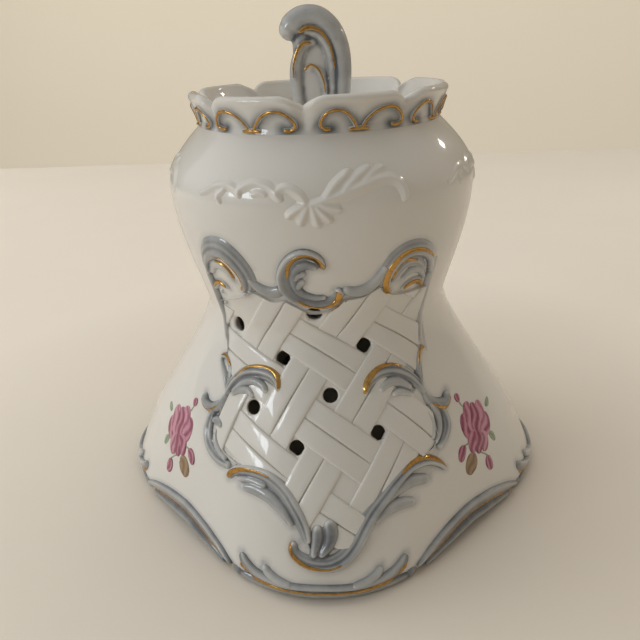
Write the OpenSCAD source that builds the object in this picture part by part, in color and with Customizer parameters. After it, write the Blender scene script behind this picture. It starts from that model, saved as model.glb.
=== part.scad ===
// Large porcelain hand bell with a pierced basketweave panel front and back,
// an eight-lobed crown collar, a leaf-scroll handle and a ring-hung clapper.
// Millimetres. Origin on the table under the bell's axis, +Z up, front faces -Y.
// Angles on the bell are measured from the front, positive towards +X.

/* [Body] */
// Radius of the hem band where two of its eight sides meet
hem_r = 95; // [90:0.5:106]
// How far the hem's edge draws in below the band
hem_tuck = 1; // [0:0.5:3]
// How far the hem stays inside the line of the flare above it
hem_ease = 6; // [0:0.5:8]
// Height at which the hem starts to leave that line
hem_turn = 35; // [28:1:42]
// Half angle of the front, back, left and right sides of the hem
main_half = 21; // [18:0.5:22.5]
// Extra radius in the middle of the front, back and side hems
main_bow = 5; // [0:0.5:8]
// Extra radius in the middle of the four corner hems, which below zero are flat
corner_bow = -7; // [-8:0.5:4]
// Rise of the hem's lower edge in the middle of a corner side
corner_arch = 5.5; // [1:0.5:8]
// Rise of the hem's lower edge in the middle of a main side
main_arch = 2; // [0:0.5:3]
// Height of the upright band round the hem
hem_band = 6; // [5:1:14]
// Height of the waist
waist_h = 92; // [84:1:100]
// Radius of the waist
waist_r = 54; // [48:1:60]
// How gently the flare turns into the waist
waist_blend = 12; // [6:1:20]
// Height of the fullest part of the shoulder
shoulder_h = 142; // [136:1:148]
// Radius of the shoulder
shoulder_r = 64; // [61:1:72]
// Height at which the shoulder meets the collar
neck_h = 166; // [162:1:170]
// Radius at which the shoulder meets the collar
neck_r = 48; // [44:1:52]
// Rise of the deck inside the collar
deck_rise = 3; // [1:0.5:5]
// Thickness of the porcelain wall
wall = 4.5; // [3.5:0.5:6]

/* [Feet] */
// Radius of each of the eight knuckle feet
foot_r = 4.5; // [3.5:0.5:6]
// Height of the hem's lower edge above the table at a foot
foot_gap = 1; // [0.5:0.25:2]

/* [Collar] */
// Height of the collar's lobes above the neck
collar_h = 12; // [9:1:16]
// Outer radius of the lobes at the rim
collar_r = 52.5; // [50:0.5:58]
// Thickness of the collar
collar_wall = 3.6; // [3:0.2:5]
// Number of lobes
lobe_count = 8; // [6:1:10]
// Depth of the notch between two lobes
notch_depth = 3.4; // [1:0.2:5]
// Half angle over which a lobe's top falls to its notch
notch_half = 9; // [5:0.5:15]
// Radius lost in each notch
notch_inset = 1.6; // [0:0.2:3]
// How far the collar's foot stands out from the neck
collar_foot = 1.4; // [0.6:0.2:2]
// Turn of the collar's first notch from the front
collar_twist = -3; // [-8:1:8]

/* [Handle] */
// Height of the handle above the deck
handle_h = 37; // [32:1:44]
// Half width of the leaf at its fullest
handle_half_w = 12; // [9:0.5:14]
// Thickness of the leaf at its fullest
handle_t = 12; // [8:0.5:14]

/* [Lattice] */
// Distance between neighbouring pierced holes
strap_pitch = 24; // [22:0.5:26]
// Turn of the rows of holes from a true diagonal
weave_turn = 9; // [0:1:12]
// Turn of the whole weave towards the left
weave_skew = 2; // [-4:1:6]
// Sag of the weave's rows one pitch from the middle
weave_sag = 2.5; // [0:0.5:4]
// Turn of each strap against its row of holes
strap_turn = 3; // [0:1:8]
// Space between neighbouring straps, in which the holes lie
strap_space = 7.2; // [5:0.2:9]
// Gap between the two strands of a strap
strand_gap = 0.6; // [0.4:0.1:1.2]
// Gap between a strand's end and the strap that it dips under
end_gap = 0.5; // [0.3:0.1:1]
// Rise of the straps above the body
strap_rise = 1.2; // [0.8:0.1:2]
// Radius of a pierced hole
hole_r = 2.9; // [2:0.1:3.3]
// Height of the middle hole of the weave, as the reliefs are drawn
weave_h = 69; // [64:1:72]
// Sideways place of the middle hole
weave_x = 4; // [-2:1:8]
// Height at which the weave ends below the crest, as the reliefs are drawn
weave_top = 107; // [104:1:109]

/* [Clapper] */
// Thickness of the lug under the deck
lug_t = 4; // [3:0.5:4.5]
// Half width of the lug
lug_r = 6; // [5:0.5:6.5]
// Drop of the lug's hole below the deck
lug_drop = 6.5; // [6.5:0.5:9]
// Radius of the lug's hole
lug_hole_r = 2.6; // [2.4:0.1:3]
// Radius of the hanger wire
wire_r = 0.9; // [0.7:0.1:1]
// Mean radius of the hanger ring
ring_r = 7; // [6.5:0.5:9]
// Mean radius of the clapper's eye
eye_r = 3.5; // [3:0.25:4.5]
// Radius of the clapper's stem
stem_r = 1.2; // [1:0.1:1.6]
// Length from the ring's pivot to the middle of the ball
clapper_l = 123; // [100:1:126]
// Radius of the clapper ball
ball_r = 11; // [8:0.5:12]
// Running gap between metal pieces that hang on each other
hang_gap = 0.3; // [0.2:0.05:0.5]
// Radial clearance of the stem in the ball
bore_gap = 0.05; // [0.02:0.01:0.1]
// Radius of the cap that holds the ball on the stem
cap_r = 3; // [2.5:0.25:4]

/* [Hidden] */
SIDES = ["front", "right", "back", "left"];
CORNERS = ["front_right", "back_right", "back_left", "front_left"];
PANELS = ["front", "back"];
PANEL_PIECES = ["lattice", "crest_scroll", "left_top_scroll", "right_top_scroll", "left_side_scroll",
    "right_side_scroll", "lower_left_scroll", "lower_right_scroll"];

PORCELAIN = [0.90, 0.89, 0.86];
GREY_GLAZE = [0.60, 0.64, 0.70];
BRASS = [0.78, 0.62, 0.30];

around = 48;               // points round the shell
corner_step = 360 / 8;     // angle between neighbouring sides of the hem
foot_place = hem_r - hem_tuck - wall / 2;   // radius at which the feet stand, under the wall
embed = 1.2;               // depth to which a strap is luted in
collar_embed = 3;          // depth to which the collar is luted in
rim_round = 1.2;           // height of the rounding of the collar's rim
deck_top = neck_h + deck_rise;
deck_under = deck_top - wall;
deck_flat = handle_half_w + 2;     // radius of the deck's level middle, under the handle
lug_hole_h = deck_under - lug_drop;
ring_dip = ring_r - sqrt(pow(ring_r, 2) - pow(lug_t / 2, 2));  // fall of the ring within the lug
pivot_h = lug_hole_h - lug_hole_r + wire_r + ring_dip + hang_gap;
ring_low = pivot_h - 2 * ring_r;
eye_top = ring_low + 2 * wire_r + hang_gap;
eye_mid = eye_top - eye_r;
ball_h = pivot_h - clapper_l;
cap_h = 2.4;               // height of the cap under the ball
seat_t = 1.6;              // thickness of the collar on the stem that rests on the ball

// ---- shape of the bell ----

function clamp01(x) = min(max(x, 0), 1);

// Outer radius of the plain turned form at height z
function flare_r(z) = let (
        full = sqrt(pow(waist_h - hem_band, 2) + pow(waist_blend, 2)) - waist_blend,
        here = sqrt(pow(waist_h - z, 2) + pow(waist_blend, 2)) - waist_blend)
    waist_r + (hem_r + hem_ease - waist_r) * here / full
    - hem_ease * pow(clamp01((hem_turn - z) / (hem_turn - hem_band)), 1.2);
function turned_r(z) =
    z < hem_band ? hem_r - hem_tuck * (1 - z / hem_band)
    : z < waist_h ? flare_r(z)
    : z < shoulder_h
    ? waist_r + (shoulder_r - waist_r) * pow(sin(90 * (z - waist_h) / (shoulder_h - waist_h)), 1.2)
    : neck_r + (shoulder_r - neck_r) * cos(90 * clamp01((z - shoulder_h) / (neck_h - shoulder_h)));

// Bow and arch of the eight sides, from a wave that is 1 in the middle of a main side, 0 where two
// sides meet and -1 in the middle of a corner side
function side_wave(a) = let (b = abs((a % 90 + 135) % 90 - corner_step))
    cos(b < main_half ? 90 * b / main_half : 90 + 90 * (b - main_half) / (corner_step - main_half));
function side_bow(a) = let (w = side_wave(a)) main_bow * max(w, 0) + corner_bow * max(-w, 0);
function side_arch(a) = let (w = side_wave(a)) foot_gap + main_arch * max(w, 0) + corner_arch * max(-w, 0);
function bow_fade(z) = pow(clamp01((waist_h - z) / (waist_h - hem_band)), 1.25);
function body_r(a, z) = turned_r(z) + side_bow(a) * bow_fade(z);
function on_body(a, z, out = 0) = let (r = body_r(a, z) + out) [r * sin(a), -r * cos(a), z];
function unit(v) = v / norm(v);
function reversed(list) = [for (i = [len(list) - 1 : -1 : 0]) list[i]];
function body_normal(a, z) = unit([sin(a), -cos(a), (body_r(a, z - 1) - body_r(a, z + 1)) / 2]);

// ---- solids skinned over rings of points ----

module skin(rings, closed = false) {
    n = len(rings[0]);
    m = len(rings);
    points = [for (r = rings) for (p = r) p];
    walls = [for (i = [0 : m - (closed ? 1 : 2)]) for (k = [0 : n - 1]) let (
            j = (i + 1) % m, l = (k + 1) % n)
        each [[i * n + k, i * n + l, j * n + l], [i * n + k, j * n + l, j * n + k]]];
    caps = closed ? [] : [[for (k = [n - 1 : -1 : 0]) k], [for (k = [0 : n - 1]) (m - 1) * n + k]];
    polyhedron(points, concat(walls, caps), convexity = 10);
}

// Catmull-Rom point between b and c, at t from 0 to 1
function blend4(a, b, c, d, t) =
    0.5 * (2 * b + (c - a) * t + (2 * a - 5 * b + 4 * c - d) * t * t + (3 * b - a - 3 * c + d) * t * t * t);
function smooth(pts, steps) = let (n = len(pts)) concat(
    [for (i = [0 : n - 2]) for (s = [0 : steps - 1])
        blend4(pts[max(i - 1, 0)], pts[i], pts[i + 1], pts[min(i + 2, n - 1)], s / steps)],
    [pts[n - 1]]);

// A raised moulding on the body, through stations of [angle, height, half width].
// Its shape is given as [across, up] in half widths.
BEAD = [[-1, -0.5], [1, -0.5], [0.9, 0.35], [0, 0.85], [-0.9, 0.35]];
module moulding(stations, turn, steps = 2, shape = BEAD) {
    s = smooth(stations, steps);
    c = [for (q = s) on_body(q[0] + turn, q[1])];
    n = len(c);
    skin([for (i = [0 : n - 1]) let (
            up = body_normal(s[i][0] + turn, s[i][1]),
            along = unit(c[min(i + 1, n - 1)] - c[max(i - 1, 0)]),
            across = unit(cross(along, up)))
        [for (p = shape) c[i] + s[i][2] * (p[0] * across + p[1] * up)]]);
}

// Reliefs are drawn for a waist of 54 at a height of 92, a shoulder at 142 and a neck at 166,
// and stretch with the body
DRAWN = [[0, 0], [92, waist_h], [142, shoulder_h], [166, neck_h]];
UNDRAWN = [for (d = DRAWN) [d[1], d[0]]];
module reliefs(list, turn) {
    for (m = list) moulding([for (q = m) [q[0], lookup(q[1], DRAWN), q[2] * waist_r / 54]], turn);
}

// ---- body, collar, handle, feet ----

module shell_form() {
    heights = concat([0, hem_band / 2], [for (z = [hem_band : (waist_h - hem_band) / 9 : waist_h - 1]) z],
        [for (z = [waist_h : (shoulder_h - waist_h) / 5 : shoulder_h - 1]) z],
        [for (k = [0 : 5]) shoulder_h + (neck_h - shoulder_h) * sin(18 * k)]);
    angles = [for (k = [around : -1 : 1]) 360 * k / around];
    function arched(a, z) = z + side_arch(a) * clamp01(1 - z / hem_turn);
    outer = [for (z = heights) [for (a = angles) on_body(a, arched(a, z))]];
    inner = [for (z = heights) if (z < neck_h - wall / 2) [for (a = angles) let (h = arched(a, z))
        on_body(a, h) - wall * (h < hem_band ? [sin(a), -cos(a), 0] : body_normal(a, h))]];
    function disc(r, z) = [for (a = angles) [r * sin(a), -r * cos(a), z]];
    deck_bend = [(neck_r + deck_flat) / 2, neck_h + deck_rise * 0.7];
    deck = [disc(deck_bend[0], deck_bend[1]), disc(deck_flat, deck_top)];
    under = [disc(deck_bend[0], deck_bend[1] - wall), disc(deck_flat, deck_under)];
    skin(concat(reversed(under), reversed(inner), outer, deck));
}

// Weave place [i, j] on a panel as [angle, height]: i counts holes down to the right, j up to the right
weave_slant = sqrt(1 + pow((body_r(0, hem_band) - waist_r) / (waist_h - hem_band - waist_blend), 2));
weave_low = (lookup(weave_h, DRAWN) - waist_h) * weave_slant;
function weave_place(i, j) = let (
        down = 45 - weave_turn + weave_skew,
        up = 45 + weave_turn + weave_skew,
        x = weave_x + strap_pitch * (i * cos(down) + j * cos(up)),
        v = weave_low + strap_pitch * (j * sin(up) - i * sin(down)) - weave_sag * pow(x / strap_pitch, 2),
        z = waist_h + (v < 0 ? v / weave_slant : v))
    [asin(min(max(x / body_r(0, z), -1), 1)), z];
HOLES = [[0, 0], [-1, 0], [0, 1], [-1, 1], [-2, 0], [-1, -1], [0, -1], [1, 0]];

module drill(a, z) {
    up = body_normal(a, z);
    translate(on_body(a, z)) rotate([0, acos(up[2]), atan2(up[1], up[0])])
        cylinder(h = 6 * wall, r = hole_r, center = true, $fn = 24);
}
module panel_holes(turn) {
    for (h = HOLES) let (p = weave_place(h[0], h[1])) drill(p[0] + turn, p[1]);
}

module bell_shell() color(PORCELAIN) difference() {
    shell_form();
    panel_holes(0);
    panel_holes(180);
}

// Share of a lobe's full height at angle a, which falls to nothing at the notches
function lobe_rise(a) = let (step = 360 / lobe_count, d = abs(((a - collar_twist) % step + 1.5 * step) % step - step / 2))
    1 - pow(1 - min(d / notch_half, 1), 1.6);
module crown_collar() color(GREY_GLAZE) {
    n = 16 * lobe_count;
    low = neck_h - collar_embed;
    foot = neck_r + collar_foot;
    skin([for (k = [0 : n - 1]) let (
            a = collar_twist + 360 * k / n,
            top = neck_h + collar_h - notch_depth * (1 - lobe_rise(a)),
            rim = collar_r - notch_inset * (1 - lobe_rise(a)),
            waist = (foot + rim) / 2 - collar_wall / 4)
        [for (q = [[foot, low], [waist, (top + low) / 2], [rim, top - rim_round],
                [rim - collar_wall / 2, top], [rim - collar_wall, top - rim_round],
                [foot - collar_wall, neck_h + collar_wall / 2], [foot - collar_wall, low]])
            [q[0] * sin(a), -q[0] * cos(a), q[1]]]], closed = true);
}

// A pair of C-scrolls on each lobe of the collar, as [share of the lobe, share of its height]
COLLAR_C = [[0.07, 0.16], [0.22, 0.5], [0.44, 0.72], [0.67, 0.6], [0.71, 0.34], [0.53, 0.22]];
RIB = [[-0.8, -0.6], [0.8, -0.6], [0.6, 0.8], [-0.6, 0.8]];
module collar_scrolls() color(GREY_GLAZE) {
    half = 360 / lobe_count / 2;
    low = [neck_r + collar_foot - 0.4, neck_h - collar_embed];
    high = [collar_r - 0.4, neck_h + collar_h];
    for (k = [0 : lobe_count - 1], side = [-1, 1]) {
        c = [for (q = smooth(COLLAR_C, 2)) let (
                a = collar_twist + (2 * k + 1 + side * q[0]) * half,
                p = low + (high - low) * q[1])
            [p[0] * sin(a), -p[0] * cos(a), p[1]]];
        n = len(c);
        skin([for (i = [0 : n - 1]) let (
                up = unit([c[i][0], c[i][1], 0]), along = unit(c[min(i + 1, n - 1)] - c[max(i - 1, 0)]),
                across = unit(cross(along, up)))
            [for (p = RIB) c[i] + p[0] * across + p[1] * up]]);
    }
}

// Outline of the leaf handle, anticlockwise from its left foot, as [half widths, share of the height]
LEAF = [[0.8, 0], [0.87, 0.1], [0.96, 0.22], [1.11, 0.41], [1.12, 0.57], [0.9, 0.78], [0.49, 0.94],
    [-0.08, 1], [-0.63, 0.99], [-1.08, 0.93], [-1.22, 0.81], [-1.05, 0.7], [-0.8, 0.65], [-0.93, 0.49],
    [-0.9, 0.3], [-0.73, 0.11], [-0.67, 0]];
// [share of the half thickness, inset of the outline there]
LEAF_SLICES = [[-1, 3.2], [-0.8, 1.2], [-0.3, 0], [0.3, 0], [0.8, 1.2], [1, 3.2]];
module scroll_handle() color(GREY_GLAZE) {
    edge = [for (q = smooth(LEAF, 2)) [q[0] * handle_half_w, q[1] * (handle_h)]];
    n = len(edge);
    inward = [for (i = [0 : n - 1]) let (t = edge[min(i + 1, n - 1)] - edge[max(i - 1, 0)])
        unit(i == 0 ? [-1, 0] : i == n - 1 ? [1, 0] : [-t[1], t[0]])];
    skin([for (s = LEAF_SLICES) [for (i = [0 : n - 1]) let (p = edge[i] + s[1] * inward[i])
        [p[0], s[0] * handle_t / 2, deck_top + max(p[1], 0)]]]);
}

module hem_feet() color(GREY_GLAZE)
    for (k = [0 : 3], side = [-1, 1]) rotate([0, 0, 90 * k + side * main_half])
        translate([0, -foot_place, 0]) rotate_extrude($fn = 32)
            polygon(concat([[0, 0]], [for (t = [-50 : 20 : 90]) foot_r * [cos(t), (sin(t) + sin(50)) * 0.9]],
                [[0, foot_r * (1 + sin(50)) * 0.9]]));

// ---- the woven panel and its frame ----

// Edges of the panel as [height, angle]
PANEL_LEFT = [[20, -2.5], [29, -4.8], [37.5, -10], [40, -14], [42, -30], [44, -38], [56, -38], [63, -37], [74, -41],
    [94, -48], [110, -49]];
PANEL_RIGHT = [[20, 7], [30, 12.3], [37.5, 20], [40, 26], [43, 36.5], [46.5, 39], [56, 40], [63, 39], [74, 42],
    [94, 47], [110, 48]];
function in_panel(p) = let (z = lookup(p[1], UNDRAWN))
    z > PANEL_LEFT[0][0] && z < weave_top && p[0] > lookup(z, PANEL_LEFT) && p[0] < lookup(z, PANEL_RIGHT);

// A point on the strap of cell [i, j], at t along it and s across it in holes' distances
function on_strap(i, j, t, s) = let (
        p = (i + j) % 2 != 0 ? [t, s] : [s, t],
        c = cos(strap_turn), d = sin(strap_turn))
    weave_place(i + 0.5 + p[0] * c - p[1] * d, j + 0.5 + p[0] * d + p[1] * c);

// The two strands of the strap that lies on top in each weave cell, each cut off at the panel's edge
module lattice(turn) color(PORCELAIN) {
    reach = ((strap_pitch + strap_space) / 2 - end_gap) / strap_pitch;
    across = (1 - strap_space / strap_pitch) / 4;
    for (i = [-4 : 3], j = [-4 : 3], s = [-across, across]) {
        inside = [for (t = [-1 : 0.05 : 1.01]) if (in_panel(on_strap(i, j, t * reach, s))) t * reach];
        if (len(inside) > 4)
            strand(i, j, inside[0], inside[len(inside) - 1], s, turn);
    }
}
module strand(i, j, from, to, s, turn) {
    stations = [for (k = [0 : 4]) let (
            t = from + (to - from) * k / 4,
            here = on_strap(i, j, t, s),
            twin = on_strap(i, j, t, -s),
            apart = norm(on_body(here[0], here[1]) - on_body(twin[0], twin[1])))
        [here[0], here[1], (apart - strand_gap) / 2]];
    base = -embed / stations[2][2];
    top = strap_rise / stations[2][2];
    moulding(stations, turn, steps = 1, shape = [[-1, base], [1, base], [0.88, top], [-0.88, top]]);
}

CREST = [
    [[2, 120, 1.8], [-1, 126, 2.2], [-7, 126, 2.6], [-12, 119, 3], [-11, 110, 3], [-5, 104, 2.8],
        [2, 102, 2.6], [8, 105, 2.4], [7, 112, 1.6]],
    [[-25, 111, 2], [-21, 108, 2.8], [-16, 107, 2.8], [-12, 109, 1.8]],
    [[9, 109, 2], [15, 109, 2.6], [21, 112, 2], [24, 118, 1.2]]];
LEFT_TOP = [
    [[-49, 115, 2], [-46, 123, 3.2], [-38, 128, 4], [-30, 124, 4], [-25, 116, 3.6], [-27, 108, 2.2]],
    [[-44, 115, 1.4], [-37, 118, 1.8], [-32, 112, 1.4]],
    [[-46, 106, 1.3], [-40, 110, 1.8], [-35, 107, 1.2]],
    [[-50, 114, 2], [-51, 104, 2], [-49, 94, 1.7], [-44, 82, 1.2]]];
RIGHT_TOP = [
    [[47, 115, 2], [42, 122, 2.6], [34, 125, 3], [27, 121, 3], [24, 114, 2.8], [27, 107, 1.8]],
    [[37, 119, 1.4], [31, 118, 1.6], [28, 112, 1.3]],
    [[33, 107, 1.3], [38, 109, 1.8], [43, 106, 1.2]],
    [[48, 114, 2], [50, 104, 2], [48, 94, 1.7], [45, 81, 1.2]]];
LEFT_SIDE = [
    [[-14, 68, 1.4], [-18, 74, 2.4], [-25, 74, 3], [-32, 69, 2.4], [-36, 61, 2], [-38, 57, 1.8],
        [-43, 55, 1.6], [-47, 59, 1.1]],
    [[-35, 63, 1.2], [-36, 69, 1.6], [-40, 75, 1.5], [-45, 76, 1.2]],
    [[-37, 58, 1.5], [-39, 50, 2.4], [-35, 45, 2.2], [-28, 42, 1.5]]];
RIGHT_SIDE = [
    [[15, 68, 1.4], [20, 74, 2.4], [27, 75, 3], [34, 70, 2.4], [38, 61, 2], [40, 57, 1.8], [44, 55, 1.6],
        [47, 59, 1.1]],
    [[37, 63, 1.2], [39, 69, 1.6], [42, 75, 1.5], [46, 77, 1.2]],
    [[39, 58, 1.5], [38, 50, 2.4], [36, 46, 2.2], [32, 44, 1.5]]];
LOWER_LEFT = [
    [[-27, 37, 1.6], [-24, 41, 2.4], [-18, 42, 2.7], [-12, 40, 2.8], [-7, 34, 2.7], [-4, 27, 2.2],
        [-3, 21, 1.5]],
    [[-21, 37, 2.2], [-15, 37, 2], [-10, 33, 1.2]],
    [[-1, 30, 1.8], [-1, 25, 1.8], [-2, 21, 1.1]]];
LOWER_RIGHT = [
    [[-6, 22, 1.4], [-6, 18, 2], [-2, 15, 2.5], [3, 16, 2.9], [7, 21, 3], [11, 28, 3], [16, 35, 3],
        [22, 41, 2.7], [29, 43, 2.3], [35, 38, 1.2]],
    [[13, 31, 1.4], [19, 35, 1.8], [28, 35, 2]],
    [[11, 27, 1.4], [16, 30, 1.8], [23, 30, 2]],
    [[3, 30, 1.8], [3, 25, 1.8], [0, 20, 1.1]]];
GARLAND = [
    [[-0.8, 144, 1.2], [-9, 147, 1.5], [-17, 149, 1.5], [-25, 148, 1.4], [-34, 146, 0.9]],
    [[0.8, 144, 1.2], [10, 146, 1.6], [18, 149, 1.6], [25, 150, 1.3], [29, 145, 0.9]],
    [[8, 146, 1], [13, 151, 1.2]],
    [[14, 148, 1], [19, 153, 1.1]],
    [[-10, 147, 1], [-15, 143, 1.1]],
    [[-1.5, 144.3, 0.9], [-7, 139, 1.5]],
    [[-0.5, 143.8, 0.9], [-2, 136, 1.6]],
    [[0.5, 143.8, 0.9], [3, 136, 1.6]],
    [[1.5, 144.3, 0.9], [8, 140, 1.5]]];

module crest_scroll(turn) color(GREY_GLAZE) reliefs(CREST, turn);
module left_top_scroll(turn) color(GREY_GLAZE) reliefs(LEFT_TOP, turn);
module right_top_scroll(turn) color(GREY_GLAZE) reliefs(RIGHT_TOP, turn);
module left_side_scroll(turn) color(GREY_GLAZE) reliefs(LEFT_SIDE, turn);
module right_side_scroll(turn) color(GREY_GLAZE) reliefs(RIGHT_SIDE, turn);
module lower_left_scroll(turn) color(GREY_GLAZE) reliefs(LOWER_LEFT, turn);
module lower_right_scroll(turn) color(GREY_GLAZE) reliefs(LOWER_RIGHT, turn);
module shoulder_garland(turn) color(PORCELAIN) reliefs(GARLAND, turn);

// ---- hem mouldings ----

// Mouldings on one side of the hem, drawn for a band 6 high, whose heights follow the arch of that
// side's edge
module hem_mouldings(list, turn) {
    for (m = list) moulding([for (q = m) let (k = hem_band / 6)
        [q[0], q[1] * k + side_arch(q[0] + turn), q[2] * k]], turn);
}
MAIN_HEM = [
    [[-19, 8.2, 1.5], [-16.5, 5.2, 2.2], [-13, 2.8, 2.3], [-7, 1.6, 2.1], [0, 1.5, 2], [7, 1.6, 2.1],
        [13, 2.8, 2.3], [16.5, 5.2, 2.2], [19, 8.2, 1.5]],
    [[-12.8, 7.4, 1.3], [-11, 5, 1.7], [-7, 3.2, 1.2]],
    [[12.8, 7.4, 1.3], [11, 5, 1.7], [7, 3.2, 1.2]]];
CORNER_HEM = [
    [[-20, 2.4, 1.3], [-17, 3.2, 1.8], [-11, 4, 2.1], [-5, 4.4, 2.1], [0, 4.6, 2.1], [5, 4.4, 2.1],
        [11, 4, 2.1], [17, 3.2, 1.8], [20, 2.4, 1.3]],
    [[-18, 0.2, 1.2], [-12, 0.6, 1.6], [-5, 0.9, 1.6], [5, 0.9, 1.6], [12, 0.6, 1.6], [18, 0.2, 1.2]]];
module main_hem_scroll(turn) color(GREY_GLAZE) hem_mouldings(MAIN_HEM, turn);
module corner_hem_scroll(turn) color(GREY_GLAZE) hem_mouldings(CORNER_HEM, turn);

// ---- clapper ----

module across_y() { rotate([90, 0, 0]) children(); }
module wire_ring(r) { rotate_extrude($fn = 64) translate([r, 0]) circle(r = wire_r, $fn = 24); }

module clapper_lug() color(PORCELAIN) difference() {
    union() {
        translate([0, 0, lug_hole_h]) across_y() cylinder(h = lug_t, r = lug_r, center = true, $fn = 64);
        translate([-lug_r, -lug_t / 2, lug_hole_h]) cube([2 * lug_r, lug_t, lug_drop]);
    }
    translate([0, 0, lug_hole_h]) across_y() cylinder(h = 2 * lug_t, r = lug_hole_r, center = true, $fn = 48);
}
// Stands square to the lug, so that its wire runs through the lug's hole
module hanger_ring() color(BRASS) translate([0, 0, pivot_h - ring_r]) rotate([0, 90, 0]) wire_ring(ring_r);
module clapper_stem() color(BRASS) {
    foot_h = ball_h - ball_r - cap_h;
    translate([0, 0, eye_mid]) across_y() wire_ring(eye_r);
    translate([0, 0, foot_h]) cylinder(h = eye_mid - eye_r - foot_h, r = stem_r, $fn = 32);
    translate([0, 0, ball_h + ball_r]) cylinder(h = seat_t, r = cap_r, $fn = 32);
}
module clapper_ball() color(PORCELAIN) translate([0, 0, ball_h]) rotate_extrude($fn = 64) difference() {
    circle(r = ball_r, $fn = 64);
    translate([-2 * ball_r, -2 * ball_r]) square([2 * ball_r + stem_r + bore_gap, 4 * ball_r]);
}
module clapper_cap() color(BRASS) translate([0, 0, ball_h - ball_r - cap_h]) difference() {
    cylinder(h = cap_h, r = cap_r, $fn = 32);
    translate([0, 0, -1]) cylinder(h = cap_h + 2, r = stem_r + bore_gap, $fn = 32);
}

// ---- nodes ----

bell_shell();
crown_collar();
collar_scrolls();
scroll_handle();
hem_feet();
for (k = [0, 1]) {
    panel = PANELS[k];
    turn = 180 * k;
    lattice(turn);
    crest_scroll(turn);
    left_top_scroll(turn);
    right_top_scroll(turn);
    left_side_scroll(turn);
    right_side_scroll(turn);
    lower_left_scroll(turn);
    lower_right_scroll(turn);
}
for (k = [0 : 3]) {
    shoulder_garland(90 * k);
    main_hem_scroll(90 * k);
    corner_hem_scroll(90 * k + corner_step);
}
clapper_lug();
hanger_ring();
clapper_stem();
clapper_ball();
clapper_cap();
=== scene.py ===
from math import sin, cos, pi, sqrt, atan2, degrees, radians, hypot, exp
import bpy
import bmesh
from mathutils import Vector, Matrix
from mathutils.bvhtree import BVHTree
from mathutils.kdtree import KDTree


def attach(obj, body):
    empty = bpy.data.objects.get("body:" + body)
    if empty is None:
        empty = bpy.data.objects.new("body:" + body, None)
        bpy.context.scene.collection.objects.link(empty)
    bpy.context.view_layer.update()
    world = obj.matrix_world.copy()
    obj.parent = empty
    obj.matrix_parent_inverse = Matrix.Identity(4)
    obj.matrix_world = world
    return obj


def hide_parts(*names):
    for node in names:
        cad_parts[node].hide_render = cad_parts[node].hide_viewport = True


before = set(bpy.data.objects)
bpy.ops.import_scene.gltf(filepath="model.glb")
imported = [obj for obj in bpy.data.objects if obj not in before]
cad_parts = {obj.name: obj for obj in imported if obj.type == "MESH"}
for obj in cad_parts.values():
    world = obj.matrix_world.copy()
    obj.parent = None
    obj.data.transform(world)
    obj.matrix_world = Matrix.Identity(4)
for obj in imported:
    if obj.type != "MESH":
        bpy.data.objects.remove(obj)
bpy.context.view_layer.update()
scene = bpy.context.scene
print("frame loaded,", len(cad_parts), "nodes")

# Shapes are worked out in millimetres and scaled to metres when a piece is finished.
# Angles run from the front (-Y) towards +X.

bell = {"hemRadius": 95, "hemTuck": 1, "hemEase": 6, "hemTurn": 35, "easePower": 1.2, "hemBand": 6, "footGap": 1,
        "mainHalf": 21, "mainBow": 5, "cornerBow": -7, "bowPower": 1.25, "mainArch": 2, "cornerArch": 5.5,
        "waistHeight": 92, "waistRadius": 54, "waistBlend": 12, "shoulderHeight": 142, "shoulderRadius": 64,
        "shoulderPower": 1.2, "neckHeight": 166, "neckRadius": 48, "deckRise": 3, "deckFlat": 14, "wall": 4.5,
        "around": 256, "outerRows": 112, "innerRows": 50, "holeRadius": 2.9, "holeFlare": 4.5, "holeLip": 1.1,
        "holeReach": 9, "holeAround": 40}
panels = (("front", 0), ("back", 180))
small = {"millimetre": 0.001, "merge": 0.004, "speck": 0.002, "weld": 0.001}


def clamp01(x):
    return min(max(x, 0.0), 1.0)


def polar(a, r, z):
    t = radians(a)
    return Vector((r * sin(t), -r * cos(t), z))


def angleOf(p):
    return degrees(atan2(p.x, -p.y))


def flareRadius(z):
    b = bell
    full = sqrt((b["waistHeight"] - b["hemBand"]) ** 2 + b["waistBlend"] ** 2) - b["waistBlend"]
    here = sqrt((b["waistHeight"] - z) ** 2 + b["waistBlend"] ** 2) - b["waistBlend"]
    ease = b["hemEase"] * clamp01((b["hemTurn"] - z) / (b["hemTurn"] - b["hemBand"])) ** b["easePower"]
    return b["waistRadius"] + (b["hemRadius"] + b["hemEase"] - b["waistRadius"]) * here / full - ease


def turnedRadius(z):
    b = bell
    if z < b["hemBand"]:
        return b["hemRadius"] - b["hemTuck"] * (1 - z / b["hemBand"])
    if z < b["waistHeight"]:
        return flareRadius(z)
    if z < b["shoulderHeight"]:
        t = (z - b["waistHeight"]) / (b["shoulderHeight"] - b["waistHeight"])
        return b["waistRadius"] + (b["shoulderRadius"] - b["waistRadius"]) * sin(pi / 2 * t) ** b["shoulderPower"]
    t = clamp01((z - b["shoulderHeight"]) / (b["neckHeight"] - b["shoulderHeight"]))
    return b["neckRadius"] + (b["shoulderRadius"] - b["neckRadius"]) * cos(pi / 2 * t)


def sideWave(a):
    # 1 in the middle of a main side, 0 at a foot, -1 in the middle of a corner side
    b = abs((a + 45) % 90 - 45)
    half = bell["mainHalf"]
    return cos(radians(90 * b / half if b < half else 90 + 90 * (b - half) / (45 - half)))


def sideArch(a):
    w = sideWave(a)
    return bell["footGap"] + bell["mainArch"] * max(w, 0) + bell["cornerArch"] * max(-w, 0)


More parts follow.
